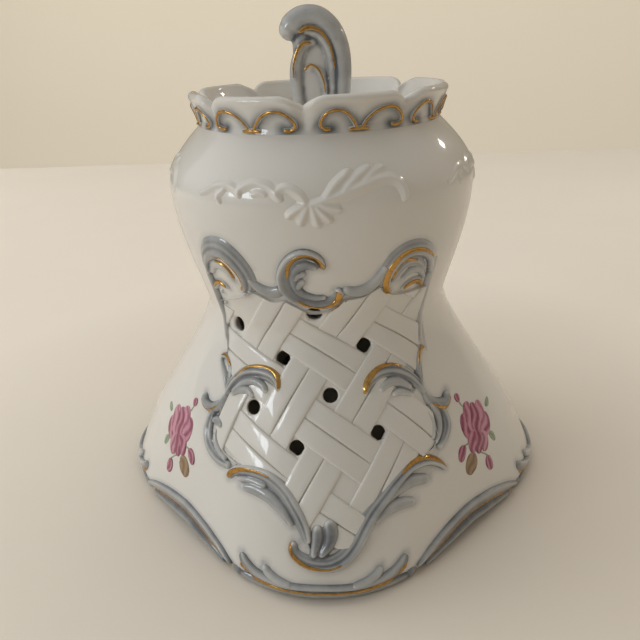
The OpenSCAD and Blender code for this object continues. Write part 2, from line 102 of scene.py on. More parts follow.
def bodyRadius(a, z):
    fade = clamp01((bell["waistHeight"] - z) / (bell["waistHeight"] - bell["hemBand"])) ** bell["bowPower"]
    if fade <= 0:
        return turnedRadius(z)
    w = sideWave(a)
    return turnedRadius(z) + (bell["mainBow"] * max(w, 0) + bell["cornerBow"] * max(-w, 0)) * fade


def onBody(a, z, out=0.0):
    return polar(a, bodyRadius(a, z) + out, z)


def bodyNormal(a, z):
    return polar(a, 1, (bodyRadius(a, z - 1) - bodyRadius(a, z + 1)) / 2).normalized()


def archedHeight(a, z):
    return z + sideArch(a) * clamp01(1 - z / bell["hemTurn"])


# strokes of clay: how their points are spaced, how their ends round off and how deep they reach into the body
stroke = {"fine": 10, "ends": (0.03, 0.12, 0.27, 0.5, 0.78), "under": ((0.62, 0.8), (0, 1), (-0.62, 0.8)),
          "streakWidth": 5, "streakBend": 2, "streakLength": 0.5, "ridgeTint": 1.1, "hollowTint": 0.26}


def smoothPath(points, steps):
    path = []
    last = len(points) - 1
    for i in range(last):
        four = [points[min(max(i + k, 0), last)] for k in (-1, 0, 1, 2)]
        for s in range(steps):
            t = s / steps
            path.append([0.5 * (2 * q + (r - p) * t + (2 * p - 5 * q + 4 * r - w) * t * t
                                + (3 * q - p - 3 * r + w) * t ** 3) for p, q, r, w in zip(*four)])
    return path + [list(points[-1])]


def skin(bm, rings, tints=None, material=0):
    # a grid is laid over the rings, vertex by vertex; the seam and the tips close when doubles merge
    along, across = len(rings), len(rings[0])
    made = bmesh.ops.create_grid(bm, x_segments=along - 1, y_segments=across - 1, size=0.5)["verts"]
    tint = bm.verts.layers.float["tint"]
    faces = set()
    for v in made:
        i = round((v.co.x + 0.5) * (along - 1))
        j = round((v.co.y + 0.5) * (across - 1))
        v.co = rings[i][j]
        if tints is not None:
            v[tint] = tints[i][j]
        faces.update(v.link_faces)
    for f in faces:
        f.material_index = material
        f.smooth = True


def newClay():
    bm = bmesh.new()
    bm.verts.layers.float.new("tint")
    return bm


def evenPath(points, spacing, place, turn=0.0):
    # points at even steps along a stroke and closer at its ends, each with its run as the last value
    dense = smoothPath([[q[0] + turn, q[1], q[2]] for q in points], stroke["fine"])
    spots = [place(q[0], q[1]) for q in dense]
    run = [0.0]
    for p, q in zip(spots, spots[1:]):
        run.append(run[-1] + (q - p).length)
    total = run[-1]
    count = max(5, round(total / spacing))
    wanted = [total * k / count for k in range(count + 1)]
    for share in stroke["ends"]:
        wanted += [min(dense[0][2], total / 3) * share, total - min(dense[-1][2], total / 3) * share]
    path = []
    i = 0
    for s in sorted(wanted):
        while i < len(run) - 2 and run[i + 1] < s:
            i += 1
        t = clamp01((s - run[i]) / max(run[i + 1] - run[i], 1e-9))
        path.append([a + (b - a) * t for a, b in zip(dense[i], dense[i + 1])] + [s])
    return path, [place(q[0], q[1]) for q in path]


def endTapers(path, reach=1.0):
    # share of the full width at each point of a path
    total = path[-1][-1]
    tapers = []
    for q in path:
        start = clamp01(q[-1] / min(reach * path[0][2], total / 3))
        end = clamp01((total - q[-1]) / min(reach * path[-1][2], total / 3))
        tapers.append(sqrt(max(0.0, (1 - (1 - start) ** 2) * (1 - (1 - end) ** 2))))
    return tapers


def aheadAt(spots, i):
    return (spots[min(i + 1, len(spots) - 1)] - spots[max(i - 1, 0)]).normalized()


def acrossAt(spots, i, up):
    return aheadAt(spots, i).cross(up).normalized()


def mirrored(half):
    # a symmetrical row from its first half and its middle
    return half + [[-q[0], *q[1:]] for q in reversed(half[:-1])]


# cross-sections from one edge to the other as [across, height]
profiles = {
    "round": mirrored([[-1, 0], [-0.93, 0.17], [-0.82, 0.42], [-0.66, 0.69], [-0.45, 0.89], [-0.22, 0.98], [0, 1]]),
    "swell": mirrored([[-1, 0], [-0.85, 0.05], [-0.7, 0.16], [-0.55, 0.33], [-0.4, 0.55], [-0.26, 0.77],
                       [-0.12, 0.93], [0, 1]]),
    "flat": mirrored([[-1, 0], [-0.97, 0.6], [-0.9, 0.95], [-0.75, 1], [-0.6, 1], [-0.45, 1], [-0.3, 1], [-0.15, 1],
                      [0, 1]]),
    "roll": [[-1, 0], [-0.97, 0.28], [-0.9, 0.6], [-0.79, 0.85], [-0.65, 0.98], [-0.5, 1], [-0.34, 0.93],
             [-0.16, 0.76], [0.04, 0.57], [0.26, 0.42], [0.5, 0.3], [0.72, 0.17], [0.88, 0.06], [1, 0]],
    "ridges": [[-1, 0], [-0.94, 0.22], [-0.84, 0.52], [-0.7, 0.7], [-0.54, 0.68], [-0.4, 0.62], [-0.22, 0.8], [0, 1],
               [0.18, 0.92], [0.32, 0.68], [0.46, 0.6], [0.62, 0.62], [0.78, 0.48], [0.92, 0.18], [1, 0]],
    "leaf": [[-1, 0], [-0.96, 0.3], [-0.87, 0.62], [-0.73, 0.88], [-0.54, 1], [-0.34, 0.95], [-0.17, 0.79],
             [-0.05, 0.63], [0.06, 0.6], [0.18, 0.66], [0.3, 0.66], [0.42, 0.53], [0.52, 0.4], [0.63, 0.36],
             [0.75, 0.32], [0.88, 0.17], [1, 0]]}
for shape in ("roll", "leaf"):
    profiles[shape + "Back"] = [[-u, h] for u, h in reversed(profiles[shape])]


def layStroke(bm, points, turn=0.0, profile="round", height=2.0, shade=0.9, place=onBody, normal=bodyNormal,
              spacing=1.1, embed=1.2, streaks=0.0, material=0, blunt=0.8):
    s = stroke
    path, spots = evenPath(points, spacing, place, turn)
    rings, tints = [], []
    for i, (q, taper) in enumerate(zip(path, endTapers(path))):
        up = normal(q[0], q[1])
        across = acrossAt(spots, i, up)
        ring, row = [], []
        for u, h in profiles[profile]:
            p = spots[i] + across * (u * q[2] * taper)
            if place is onBody:
                p = onBody(angleOf(p), p.z)
            ring.append(p + up * (h * height * taper ** blunt))
            if streaks:
                wave = sin(u * s["streakWidth"] + s["streakBend"] * sin(q[-1] * s["streakLength"]))
                row.append(clamp01(shade + streaks * wave))
            else:
                # hollows and edges take more of the grey wash than ridges: pooled glaze, and also painted shade in the
                # hollows and a painted highlight on the ridges
                row.append(clamp01(shade * (s["ridgeTint"] - s["hollowTint"] * h ** 2)))
        for u, d in s["under"]:
            ring.append(spots[i] + across * (u * q[2] * taper) - up * (embed * d * taper))
            row.append(shade)
        rings.append(ring + [ring[0]])
        tints.append(row + [row[0]])
    skin(bm, rings, tints, material)
    return [(spot, q[2]) for spot, q in zip(spots, path)]


def profileHeight(shape, u):
    for (ua, ha), (ub, hb) in zip(shape, shape[1:]):
        if u <= ub:
            return ha + (hb - ha) * (u - ua) / (ub - ua)
    return 0.0


# cell of the net that reliefs are modelled on, how far it reaches past a stroke, how deep it is buried, how the
# strokes melt together under the glaze, and how much grey their hollows take, as pooled wash and painted shade
melt = {"cell": 0.42, "cellTall": 0.85, "spacing": 0.8, "blunt": 0.8, "skirt": 1.3, "bury": 1.1, "floor": 0.7,
        "trim": 0.45, "join": 0.7, "slope": 0.9, "calm": 2, "hollow": 5, "base": 1.0, "wash": 1.55, "rise": 0.85,
        "leastGrey": 0.1}


def soften(field, rounds):
    for k in range(rounds):
        calmer = {}
        for (i, j), h in field.items():
            around = [field.get(spot, h) for spot in ((i - 1, j), (i + 1, j), (i, j - 1), (i, j + 1))]
            calmer[i, j] = 0.5 * h + 0.125 * sum(around)
        field = calmer
    return field


def cellsBetween(a, b, reach, step):
    return range(int((min(a, b) - reach) // step), int((max(a, b) + reach) // step) + 2)


def meltStrokes(bm, strokes, rise, calm):
    # strokes are raised on a fine net over the body, where they flow into each other like slip under glaze
    everywhere = [q for line in strokes for q in line[3]]
    middleA, middleZ = (sum(q[k] for q in everywhere) / len(everywhere) for k in (0, 1))
    stepZ = melt["cell"] * melt["cellTall"]
    stepA = degrees(melt["cell"] / bodyRadius(middleA, middleZ))
    net, heights, shades, spines = {}, {}, {}, []
    for profile, height, shade, points in strokes:
        path, spots = evenPath(points, melt["spacing"], onBody)
        widths = [(q[2] * taper, taper ** melt["blunt"]) for q, taper in zip(path, endTapers(path))]
        near = {}
        for k in range(len(path) - 1):
            line = spots[k + 1] - spots[k]
            if line.length < 1e-6:
                continue
            across = line.cross(bodyNormal(path[k][0], path[k][1])).normalized()
            reach = max(widths[k][0], widths[k + 1][0]) + melt["skirt"]
            turnReach = degrees(reach / bodyRadius(path[k][0], path[k][1]))
            for i in cellsBetween(path[k][0], path[k + 1][0], turnReach, stepA):
                for j in cellsBetween(path[k][1], path[k + 1][1], reach, stepZ):
                    if (i, j) not in net:
                        net[i, j] = onBody(i * stepA, j * stepZ)
                    g = net[i, j] - spots[k]
                    t = clamp01(g.dot(line) / line.length_squared)
                    away = g - line * t
                    d = away.length
                    if d < near.get((i, j), (reach,))[0] and d < reach:
                        wide, tall = (p + (q - p) * t for p, q in zip(widths[k], widths[k + 1]))
                        near[i, j] = (d, d if away.dot(across) > 0 else -d, wide, tall)
        for spot, (d, side, wide, tall) in near.items():
            if d < wide:
                h = profileHeight(profiles[profile], side / wide) * height * rise * tall
            else:
                h = -(d - wide) * melt["slope"]
            if spot in heights:
                old = heights[spot]
                heights[spot] = max(old, h) + max(melt["join"] - abs(old - h), 0) ** 2 / (4 * melt["join"])
                shades[spot] = shade if h > old else shades[spot]
            else:
                heights[spot], shades[spot] = h, shade
        spines.extend((spot, q[2]) for spot, q in zip(spots, path) if shade > melt["leastGrey"])
    heights = soften(heights, calm)
    broad = soften(heights, melt["hollow"])
    firstI, firstJ = (min(spot[k] for spot in heights) for k in (0, 1))
    wideI, wideJ = (max(spot[k] for spot in heights) - first for k, first in ((0, firstI), (1, firstJ)))
    tint = bm.verts.layers.float["tint"]
    made = bmesh.ops.create_grid(bm, x_segments=wideI, y_segments=wideJ, size=0.5)["verts"]
    depths = {}
    spare = []
    for v in made:
        i = firstI + round((v.co.x + 0.5) * wideI)
        j = firstJ + round((v.co.y + 0.5) * wideJ)
        if (i, j) not in heights:
            spare.append(v)
            continue
        h = max(heights[i, j], -melt["bury"])
        v.co = net[i, j] + bodyNormal(i * stepA, j * stepZ) * h
        # grey is heavier below the blurred surface and lighter on crests: pooled glaze, and also painted shade in the
        # hollows
        v[tint] = clamp01(shades[i, j] * (melt["base"] + melt["wash"] * (broad[i, j] - heights[i, j])))
        depths[v] = h
    bmesh.ops.delete(bm, geom=spare, context="VERTS")
    sunk = [f for f in bm.faces if all(depths[v] < -melt["trim"] for v in f.verts)]
    bmesh.ops.delete(bm, geom=sunk, context="FACES")
    for f in bm.faces:
        f.smooth = True
    under = bmesh.ops.extrude_face_region(bm, geom=bm.faces[:], use_keep_orig=True)["geom"]
    for v in under:
        if isinstance(v, bmesh.types.BMVert):
            v.co = onBody(angleOf(v.co), v.co.z, -melt["bury"] - melt["floor"])
    return spines


gold = {"spacing": 0.8, "ends": 2.2, "lift": 0.03, "lowest": -0.4, "sink": 0.25, "thick": 0.16,
        "line": mirrored([[-1, 0], [-0.8, 0.7], [-0.4, 0.95], [0, 1]])}


def layGilt(bm, tree, points, turn=0.0, place=onBody, normal=bodyNormal, reach=7.0, thick=gold["thick"]):
    # a thin line of gold on whatever relief lies below it
    path, spots = evenPath(points, gold["spacing"], place, turn)
    ups = [normal(q[0], q[1]) for q in path]
    tapers = endTapers(path, gold["ends"])
    rows = []
    for i, (q, up) in enumerate(zip(path, ups)):
        across = acrossAt(spots, i, up)
        row = []
        for u, h in gold["line"]:
            p = spots[i] + across * (u * q[2] * tapers[i])
            hit = tree.ray_cast(p + up * reach, -up, 2 * reach)[0]
            row.append((p, max((hit - p).dot(up), gold["lowest"]) if hit else 0.0))
        rows.append(row)
    rings = []
    for i, (row, up) in enumerate(zip(rows, ups)):
        around = [rows[min(max(i + k, 0), len(rows) - 1)] for k in (-2, -1, 0, 1, 2)]
        ring = []
        for j, (p, lift) in enumerate(row):
            soft = max(lift, sum(r[j][1] for r in around) / 5)
            ring.append(p + up * (soft + gold["lift"] + thick * gold["line"][j][1] * tapers[i]))
        for j in (5, 3, 1):
            ring.append(row[j][0] + up * (min(r[j][1] for r in around) - gold["sink"]))
        if tapers[i] < 1e-6:
            ring = [ring[3]] * len(ring)
        rings.append(ring + [ring[0]])
    skin(bm, rings, None, 1)


def newObject(bm, name):
    mesh = bpy.data.meshes.new(name)
    bm.to_mesh(mesh)
    bm.free()
    thing = bpy.data.objects.new(name, mesh)
    scene.collection.objects.link(thing)
    return thing


def closeSeams(bm):
    bmesh.ops.remove_doubles(bm, verts=bm.verts[:], dist=small["merge"])
    bmesh.ops.dissolve_degenerate(bm, dist=small["speck"], edges=bm.edges[:])
    bmesh.ops.recalc_face_normals(bm, faces=bm.faces[:])


def finishPiece(bm, name, body, materials, nodes, sharp=None, merge=True):
    if merge:
        closeSeams(bm)
    bmesh.ops.scale(bm, vec=[small["millimetre"]] * 3, verts=bm.verts[:])
    piece = newObject(bm, name)
    for m in materials:
        piece.data.materials.append(m)
    piece.data.shade_smooth()
    if sharp:
        piece.data.set_sharp_from_angle(angle=radians(sharp))
    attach(piece, body)
    if nodes:
        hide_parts(*nodes)
    return piece


def spinLine(bm, line, steps, closed=False, front=False):
    # a line of (radius, height) is turned once about Z
    chain = [bm.verts.new((0, -r, z) if front else (r, 0, z)) for r, z in line]
    for v, w in zip(chain, chain[1:] + (chain[:1] if closed else [])):
        bm.edges.new((v, w))
    bmesh.ops.spin(bm, geom=chain + bm.edges[:], cent=(0, 0, 0), axis=(0, 0, 1), angle=2 * pi, steps=steps,
                   use_merge=True)


def joinIn(bm, other, place):
    other.transform(place)
    part = bpy.data.meshes.new("part")
    other.to_mesh(part)
    other.free()
    bm.from_mesh(part)
    bpy.data.meshes.remove(part)


def appliedMesh(piece):
    # turns a piece's live modifiers into plain mesh
    graph = bpy.context.evaluated_depsgraph_get()
    mesh = bpy.data.meshes.new_from_object(piece.evaluated_get(graph))
    bm = bmesh.new()
    bm.from_mesh(mesh)
    bpy.data.objects.remove(piece)
    return bm


class Nodes:
    # short hand for building a node tree; a value is a number, a colour or another node's output
    def __init__(self, tree):
        self.tree = tree

    def put(self, value, socket):
        if isinstance(value, (int, float)):
            socket.default_value = value
        elif isinstance(value, tuple):
            socket.default_value = (*value, 1)
        else:
            self.tree.links.new(value, socket)

    def fill(self, node, **values):
        for key, value in values.items():
            if hasattr(node, key):
                setattr(node, key, value)
            else:
                self.put(value, node.inputs[key.replace("_", " ")])
        return node

    def add(self, kind, **values):
        return self.fill(self.tree.nodes.new(kind), **values)

    def objectNoise(self, scale, detail=3.0, rough=0.5):
        place = self.add("ShaderNodeTexCoord").outputs["Object"]
        return self.add("ShaderNodeTexNoise", Vector=place, Scale=scale, Detail=detail, Roughness=rough).outputs["Fac"]

    def ramp(self, fac, stops):
        ramp = self.add("ShaderNodeValToRGB", Fac=fac)
        line = ramp.color_ramp
        while len(line.elements) < len(stops):
            line.elements.new(0.5)
        for element, (spot, colour) in zip(line.elements, stops):
            element.position = spot
            element.color = (*colour, 1)
        return ramp.outputs["Color"]

    def mix(self, fac, a, b, blend="MIX"):
        node = self.add("ShaderNodeMix", data_type="RGBA", blend_type=blend)
        for k, value in ((0, fac), (6, a), (7, b)):
            self.put(value, node.inputs[k])
        return node.outputs[2]

    def maths(self, operation, a, b, clamp=False):
        node = self.add("ShaderNodeMath", operation=operation, use_clamp=clamp)
        for k, value in enumerate((a, b)):
            self.put(value, node.inputs[k])
        return node.outputs[0]

    def uneven(self, value, noise, share):
        # a value that wanders by a share of the noise
        return self.maths("ADD", value, self.maths("MULTIPLY", self.maths("SUBTRACT", noise, 0.5), share), clamp=True)

    def roughness(self, noise, share, least):
        return self.maths("ADD", self.maths("MULTIPLY", noise, share), least)


class Finish(Nodes):
    # a material with its shader
    def __init__(self, name):
        self.material = bpy.data.materials.new(name)
        self.material.use_nodes = True
        super().__init__(self.material.node_tree)
        self.shader = self.tree.nodes["Principled BSDF"]

    def shade(self, **values):
        self.fill(self.shader, **values)

    def bump(self, height, strength, distance):
        node = self.add("ShaderNodeBump", Height=height, Strength=strength, Distance=distance)
        self.tree.links.new(node.outputs["Normal"], self.shader.inputs["Normal"])

    def tint(self):
        return self.add("ShaderNodeAttribute", attribute_name="tint").outputs["Fac"]


# each noise as its scale, detail and roughness, each bump as its strength and distance
porcelainLook = {"white": (0.80, 0.78, 0.74), "shadow": (0.76, 0.735, 0.68), "wash": (0.42, 0.44, 0.455),
                 "grey": (0.215, 0.235, 0.255), "deep": (0.10, 0.112, 0.13), "roughness": 0.28, "unevenness": 0.08,
                 "coatRoughness": 0.035, "cloud": (95, 4, 0.6), "cloudShare": 0.35, "fine": (420, 3, 0.55),
                 "blotch": (28, 2, 0.5), "ripple": (140, 2, 0.45), "rippleBump": (0.12, 0.0006),
                 "amount": [(0.0, (0, 0, 0)), (0.12, (0.02, 0.02, 0.02)), (1.0, (1, 1, 1))]}


def makeGlaze():
    look = porcelainLook
    n = Finish("whiteAndGreyGlaze")
    tint = n.tint()
    cloudy = n.uneven(tint, n.objectNoise(*look["cloud"]), look["cloudShare"])
    washed = n.maths("MULTIPLY", cloudy, n.maths("MINIMUM", n.maths("MULTIPLY", tint, 8), 1.0))
    white = n.mix(n.objectNoise(*look["blotch"]), look["white"], look["shadow"])
    amount = n.ramp(washed, look["amount"])
    grey = n.ramp(washed, [(0.0, look["wash"]), (0.45, look["wash"]), (0.8, look["grey"]), (1.0, look["deep"])])
    n.shade(Base_Color=n.mix(amount, white, grey), Coat_Weight=1.0, Coat_Roughness=look["coatRoughness"],
            Coat_IOR=1.5, Roughness=n.roughness(n.objectNoise(*look["fine"]), look["unevenness"], look["roughness"]))
    n.bump(n.objectNoise(*look["ripple"]), *look["rippleBump"])
    return n.material


# bright and dark gold patches follow noise: rubbed gilding, and also painted glints and dark reflections on the metal
giltLook = {"gold": (0.62, 0.36, 0.112), "worn": (0.36, 0.20, 0.064), "roughness": 0.07, "unevenness": 0.2,
            "rub": (520, 4, 0.65), "fine": (300, 3), "bump": (0.25, 0.00025)}


def makeGilt():
    look = giltLook
    n = Finish("oldGold")
    rub = n.objectNoise(*look["rub"])
    # the darker patches are rubbed gold and painted dark reflection, the brighter ones painted glints
    n.shade(Base_Color=n.ramp(rub, [(0.3, look["worn"]), (0.55, look["gold"]), (1.0, look["gold"])]),
            Roughness=n.roughness(n.objectNoise(*look["fine"]), look["unevenness"], look["roughness"]), Metallic=1.0)
    n.bump(rub, *look["bump"])
    return n.material


brassLook = {"bright": (0.72, 0.53, 0.24), "dull": (0.42, 0.30, 0.14), "roughness": 0.2, "unevenness": 0.25,
             "tarnish": (210, 5, 0.6), "fine": (900, 3), "bump": (0.2, 0.0002)}


def makeBrass():
    look = brassLook
    n = Finish("wireBrass")
    tarnish = n.objectNoise(*look["tarnish"])
    n.shade(Base_Color=n.ramp(tarnish, [(0.35, look["dull"]), (0.65, look["bright"])]),
            Roughness=n.roughness(tarnish, look["unevenness"], look["roughness"]), Metallic=1.0)
    n.bump(n.objectNoise(*look["fine"]), *look["bump"])
    return n.material


# overglaze enamels, each from its pale to its strong colour, laid on in streaks of the brush
enamelLook = {"colours": {"roseEnamel": ((0.62, 0.27, 0.37), (0.25, 0.02, 0.075)),
                          "brownEnamel": ((0.36, 0.22, 0.10), (0.17, 0.09, 0.035)),
                          "greenEnamel": ((0.34, 0.42, 0.28), (0.15, 0.22, 0.12))},
              "grain": (650, 4, 0.6), "grainShare": 0.5, "roughness": 0.3, "unevenness": 0.12, "coat": 0.8,
              "coatRoughness": 0.06, "bump": (0.08, 0.0002)}


def makeEnamel(name, pale, strong):
    look = enamelLook
    n = Finish(name)
    grain = n.objectNoise(*look["grain"])
    streaky = n.uneven(n.tint(), grain, look["grainShare"])
    n.shade(Base_Color=n.ramp(streaky, [(0.15, pale), (0.85, strong)]), Coat_Weight=look["coat"],
            Roughness=n.roughness(grain, look["unevenness"], look["roughness"]), Coat_Roughness=look["coatRoughness"])
    n.bump(grain, *look["bump"])
    return n.material


glaze, gilt, brass = makeGlaze(), makeGilt(), makeBrass()
enamels = [makeEnamel(name, *colours) for name, colours in enamelLook["colours"].items()]
print("finishes ready")

# reliefs of one pierced panel: each stroke's profile, height, tint and points of [angle, height, half width]

crest = {
    "strokes": [
        ("rollBack", 2.2, 0.85, [[3, 120, 1.0], [1, 124.4, 1.7], [-3.6, 126, 2.2], [-8, 123, 2.6], [-10.8, 117, 2.9],
            [-10.6, 111.8, 2.9], [-7.8, 107.8, 2.6], [-3, 106.0, 2.3], [2, 105.4, 2.2], [6.2, 106.6, 2.3],
            [8, 109.4, 2.0], [6.6, 111.4, 1.2]]),
        ("round", 1.5, 0.95, [[1, 120.4, 1.2], [-3, 121.6, 1.8], [-6.4, 119.4, 2.1], [-7.4, 114.6, 2.0],
            [-5.6, 110, 1.8], [-1, 107.9, 1.4], [3.6, 108, 1.0]]),
        ("round", 1.5, 0.75, [[-7.2, 115.4, 1.1], [-5.8, 117.6, 1.6], [-3, 118.4, 1.4]]),
        ("round", 1.5, 0.75, [[-6.8, 111.8, 1.1], [-5.4, 114.2, 1.7], [-3.6, 115.2, 1.3]]),
        ("round", 1.8, 0.8, [[-25, 115, 1.0], [-22.8, 112, 2.0], [-19.6, 109.8, 2.6], [-15.6, 109.4, 2.6],
            [-12, 111.4, 1.9]]),
        ("round", 1.8, 0.75, [[9.4, 111.2, 1.6], [13.4, 109.4, 2.4], [18, 109.9, 2.7], [21.8, 113.2, 2.3],
            [24.6, 119, 1.1]])],
    "gilt": [
        [[3.4, 119.8, 1.0], [1, 123.8, 1.15], [-2.7, 125.6, 0.95], [-6.3, 124.4, 0.75], [-8.8, 121, 0.7],
            [-9.6, 116.4, 0.5]],
        [[-6.8, 106.8, 0.4], [-1.8, 104.5, 0.6], [3.4, 104.1, 0.95], [7, 105.9, 1.3], [8.2, 108.8, 1.25],
            [7.2, 110.8, 0.9]]]}

leftTop = {
    "strokes": [
        ("leafBack", 2.4, 0.85, [[-46.6, 112, 1.6], [-45.6, 119, 3.2], [-41, 124, 4.4], [-34.6, 125.6, 4.6],
            [-29.4, 122.4, 4.4], [-25.8, 116.4, 4.0], [-25.6, 111, 3.2], [-28.6, 107.4, 1.6]]),
        ("round", 1.2, 0.6, [[-44.4, 112.6, 1.2], [-41, 117.2, 2.0], [-36, 117, 2.0], [-32.4, 112, 1.4]]),
        ("round", 1.5, 0.7, [[-46, 105.4, 1.0], [-43.4, 108.6, 1.5], [-39.8, 109.2, 1.5], [-37, 107.4, 1.0]]),
        ("round", 1.3, 0.55, [[-43.6, 105.2, 1.2], [-42, 104.4, 1.3]]),
        ("round", 1.3, 0.5, [[-44.2, 99.6, 1.2], [-42.8, 98.8, 1.3]]),
        ("round", 1.8, 0.85, [[-46.8, 114, 1.6], [-47, 106, 1.9], [-47.6, 98, 1.8], [-47.4, 90, 1.7],
            [-44.8, 81.4, 1.0]])],
    "gilt": [
        [[-38.6, 121.8, 0.35], [-34.7, 121.9, 0.45], [-31.0, 120.1, 0.5], [-28.5, 116.0, 0.6], [-28.1, 111.5, 0.8],
            [-30.6, 107.9, 0.7]],
        [[-39.6, 119.4, 0.35], [-36.2, 118.9, 0.45], [-33.5, 116.9, 0.5], [-31.7, 113.2, 0.55]],
        [[-45.8, 106.7, 0.7], [-43.4, 109, 0.9], [-40.4, 109.7, 0.8], [-37.5, 108.2, 0.5]]]}

rightTop = {
    "strokes": [
        ("leaf", 2.4, 0.8, [[46.4, 111, 1.2], [45, 118, 2.4], [40.2, 122.6, 3.2], [34, 124, 3.4], [28.6, 121.6, 3.4],
            [25, 115.6, 3.0], [25, 109.6, 2.2], [27.6, 106.6, 1.2]]),
        ("ridges", 1.4, 0.8, [[42.4, 113.6, 1.2], [38, 117.8, 2.2], [33, 118.2, 2.5], [29.2, 114.6, 1.9],
            [28.2, 111, 1.1]]),
        ("round", 1.2, 0.75, [[44, 109, 1.0], [40.4, 113.6, 1.7], [35.6, 114.2, 1.7], [32, 111, 1.1]]),
        ("round", 1.5, 0.75, [[33, 106.8, 1.0], [36.4, 109, 1.5], [40.4, 109, 1.6], [43.6, 105.6, 1.1]]),
        ("round", 1.8, 0.75, [[46.4, 114, 1.5], [47, 106, 1.9], [47.4, 97, 1.8], [47.2, 89, 1.6], [45.2, 80.4, 1.0]]),
        ("round", 0.9, 0.06, [[49, 117, 0.7], [49.8, 107, 0.9], [50, 96, 0.9], [49.4, 86, 0.9], [47.8, 75, 0.6]])],
    "gilt": [
        [[45.4, 118.4, 0.45], [39.8, 122.5, 0.6], [34.6, 123.8, 0.7], [29.6, 122.4, 0.85], [26, 117.6, 1.0],
            [24.8, 112.4, 1.15], [26.2, 107.8, 1.2], [28.8, 106.8, 0.8]],
        [[37.6, 118.8, 0.4], [32.4, 119.8, 0.6], [29.2, 117.5, 0.75], [27.7, 113.0, 0.7]],
        [[33.4, 107.2, 0.7], [36.4, 109, 0.95], [39.9, 109, 0.95], [43, 106.4, 0.8], [43.6, 104.6, 0.6]]]}

leftSide = {
    "strokes": [
        ("round", 1.9, 0.9, [[-37.6, 62, 1.0], [-37.6, 67.6, 1.7], [-38.8, 72.4, 1.9], [-42.2, 75.4, 1.7],
            [-46.2, 74.6, 1.0]]),
        ("round", 1.4, 0.8, [[-38.6, 64, 0.9], [-41, 68, 1.5], [-44.4, 71.6, 1.2], [-46.4, 74, 0.8]]),
        ("ridges", 3.0, 0.85, [[-37.4, 62, 1.5], [-35, 68, 2.5], [-30.8, 72.4, 3.1], [-25, 74.4, 3.4],
            [-19.6, 74.4, 3.2], [-16.2, 72.4, 2.5], [-15.2, 68.8, 1.3]]),
        ("round", 2.7, 0.85, [[-34.6, 64, 1.2], [-30.4, 68.6, 2.0], [-25.4, 70.8, 2.2], [-21.4, 69.8, 2.1],
            [-19.8, 67.6, 1.3]]),
        ("round", 2.5, 0.8, [[-34.6, 63, 1.1], [-31.4, 65.8, 1.8], [-27.4, 67, 2.0], [-24.6, 65.2, 1.3]]),
        ("round", 2.4, 0.9, [[-37, 63, 1.4], [-38.8, 58, 2.4], [-43, 54.8, 2.5], [-47.2, 55, 2.2],
            [-49.6, 58.2, 1.5]]),
        ("round", 2.5, 0.95, [[-40.4, 50.6, 1.4], [-38.6, 51.8, 2.2], [-36.4, 51.2, 2.3], [-35.6, 49.6, 1.7]]),
        ("ridges", 2.6, 0.85, [[-41.6, 55, 1.2], [-42.4, 50.6, 2.4], [-41.6, 45.4, 2.9], [-38.4, 41.4, 2.8],
            [-33.6, 39.4, 2.4], [-28, 39.4, 1.4]]),
        ("round", 2.0, 0.75, [[-37.4, 49.4, 1.0], [-37.2, 45.8, 1.8], [-34.4, 42.6, 1.8], [-30, 40.8, 1.1]])],
    "gilt": [
        [[-34.4, 69.8, 0.35], [-30.6, 74.2, 0.5], [-25, 76.6, 0.7], [-19.4, 76.6, 0.85], [-15.6, 73.8, 0.85],
            [-14.8, 69.8, 0.6]],
        [[-38.4, 73, 0.35], [-42.2, 75.9, 0.5], [-46.2, 75.4, 0.5]],
        [[-39.6, 57, 0.3], [-43.2, 53.7, 0.45], [-47, 53.4, 0.45], [-49.2, 56, 0.35]]]}

rightSide = {
    "strokes": [
        ("ridges", 3.0, 0.85, [[15.4, 67.8, 1.4], [18, 72, 2.6], [23, 74.2, 3.2], [29, 73.4, 3.2], [34.2, 70, 2.7],
            [37.4, 65.6, 2.1], [38.8, 61.6, 1.3]]),
        ("round", 2.6, 0.75, [[20.8, 67.4, 1.4], [24.6, 69.8, 2.4], [29.4, 69.2, 2.4], [34.2, 65.2, 1.4]]),
        ("round", 2.4, 0.7, [[25.4, 65.2, 1.2], [29.2, 65.6, 1.9], [34, 62.8, 1.3]]),
        ("round", 1.9, 0.9, [[46.4, 77.6, 1.0], [42.6, 76.4, 1.7], [40, 71, 1.8], [38.6, 64, 1.2]]),
        ("round", 2.4, 0.9, [[38.6, 64, 1.4], [40, 58.8, 2.4], [43.6, 55.4, 2.8], [47.6, 54.8, 2.7],
            [50.2, 58, 1.8]]),
        ("ridges", 2.5, 0.85, [[42.6, 57, 1.2], [44.9, 52, 2.2], [44.6, 47, 2.5], [41.6, 43.3, 2.2],
            [37.6, 41.2, 1.2]]),
        ("round", 2.1, 0.8, [[39.8, 57.6, 1.0], [41.8, 52.6, 1.9], [40.8, 47.8, 2.0], [38.6, 44.8, 1.5],
            [36.8, 43.2, 0.8]]),
        ("round", 1.8, 0.7, [[37.4, 56, 0.9], [38.8, 51.4, 1.5], [37.8, 47.2, 1.4], [36.4, 45, 0.8]])],
    "gilt": [
        [[15, 67.6, 1.2], [17.4, 72.6, 1.3], [22.4, 76, 0.95], [28, 76, 0.6], [32, 74, 0.4]],
        [[46, 77.8, 0.7], [42.6, 76.8, 0.6], [40.2, 72, 0.4]],
        [[40.4, 57.2, 0.35], [43.6, 54.2, 0.6], [47.6, 53, 0.6], [49.8, 55.8, 0.45]]]}

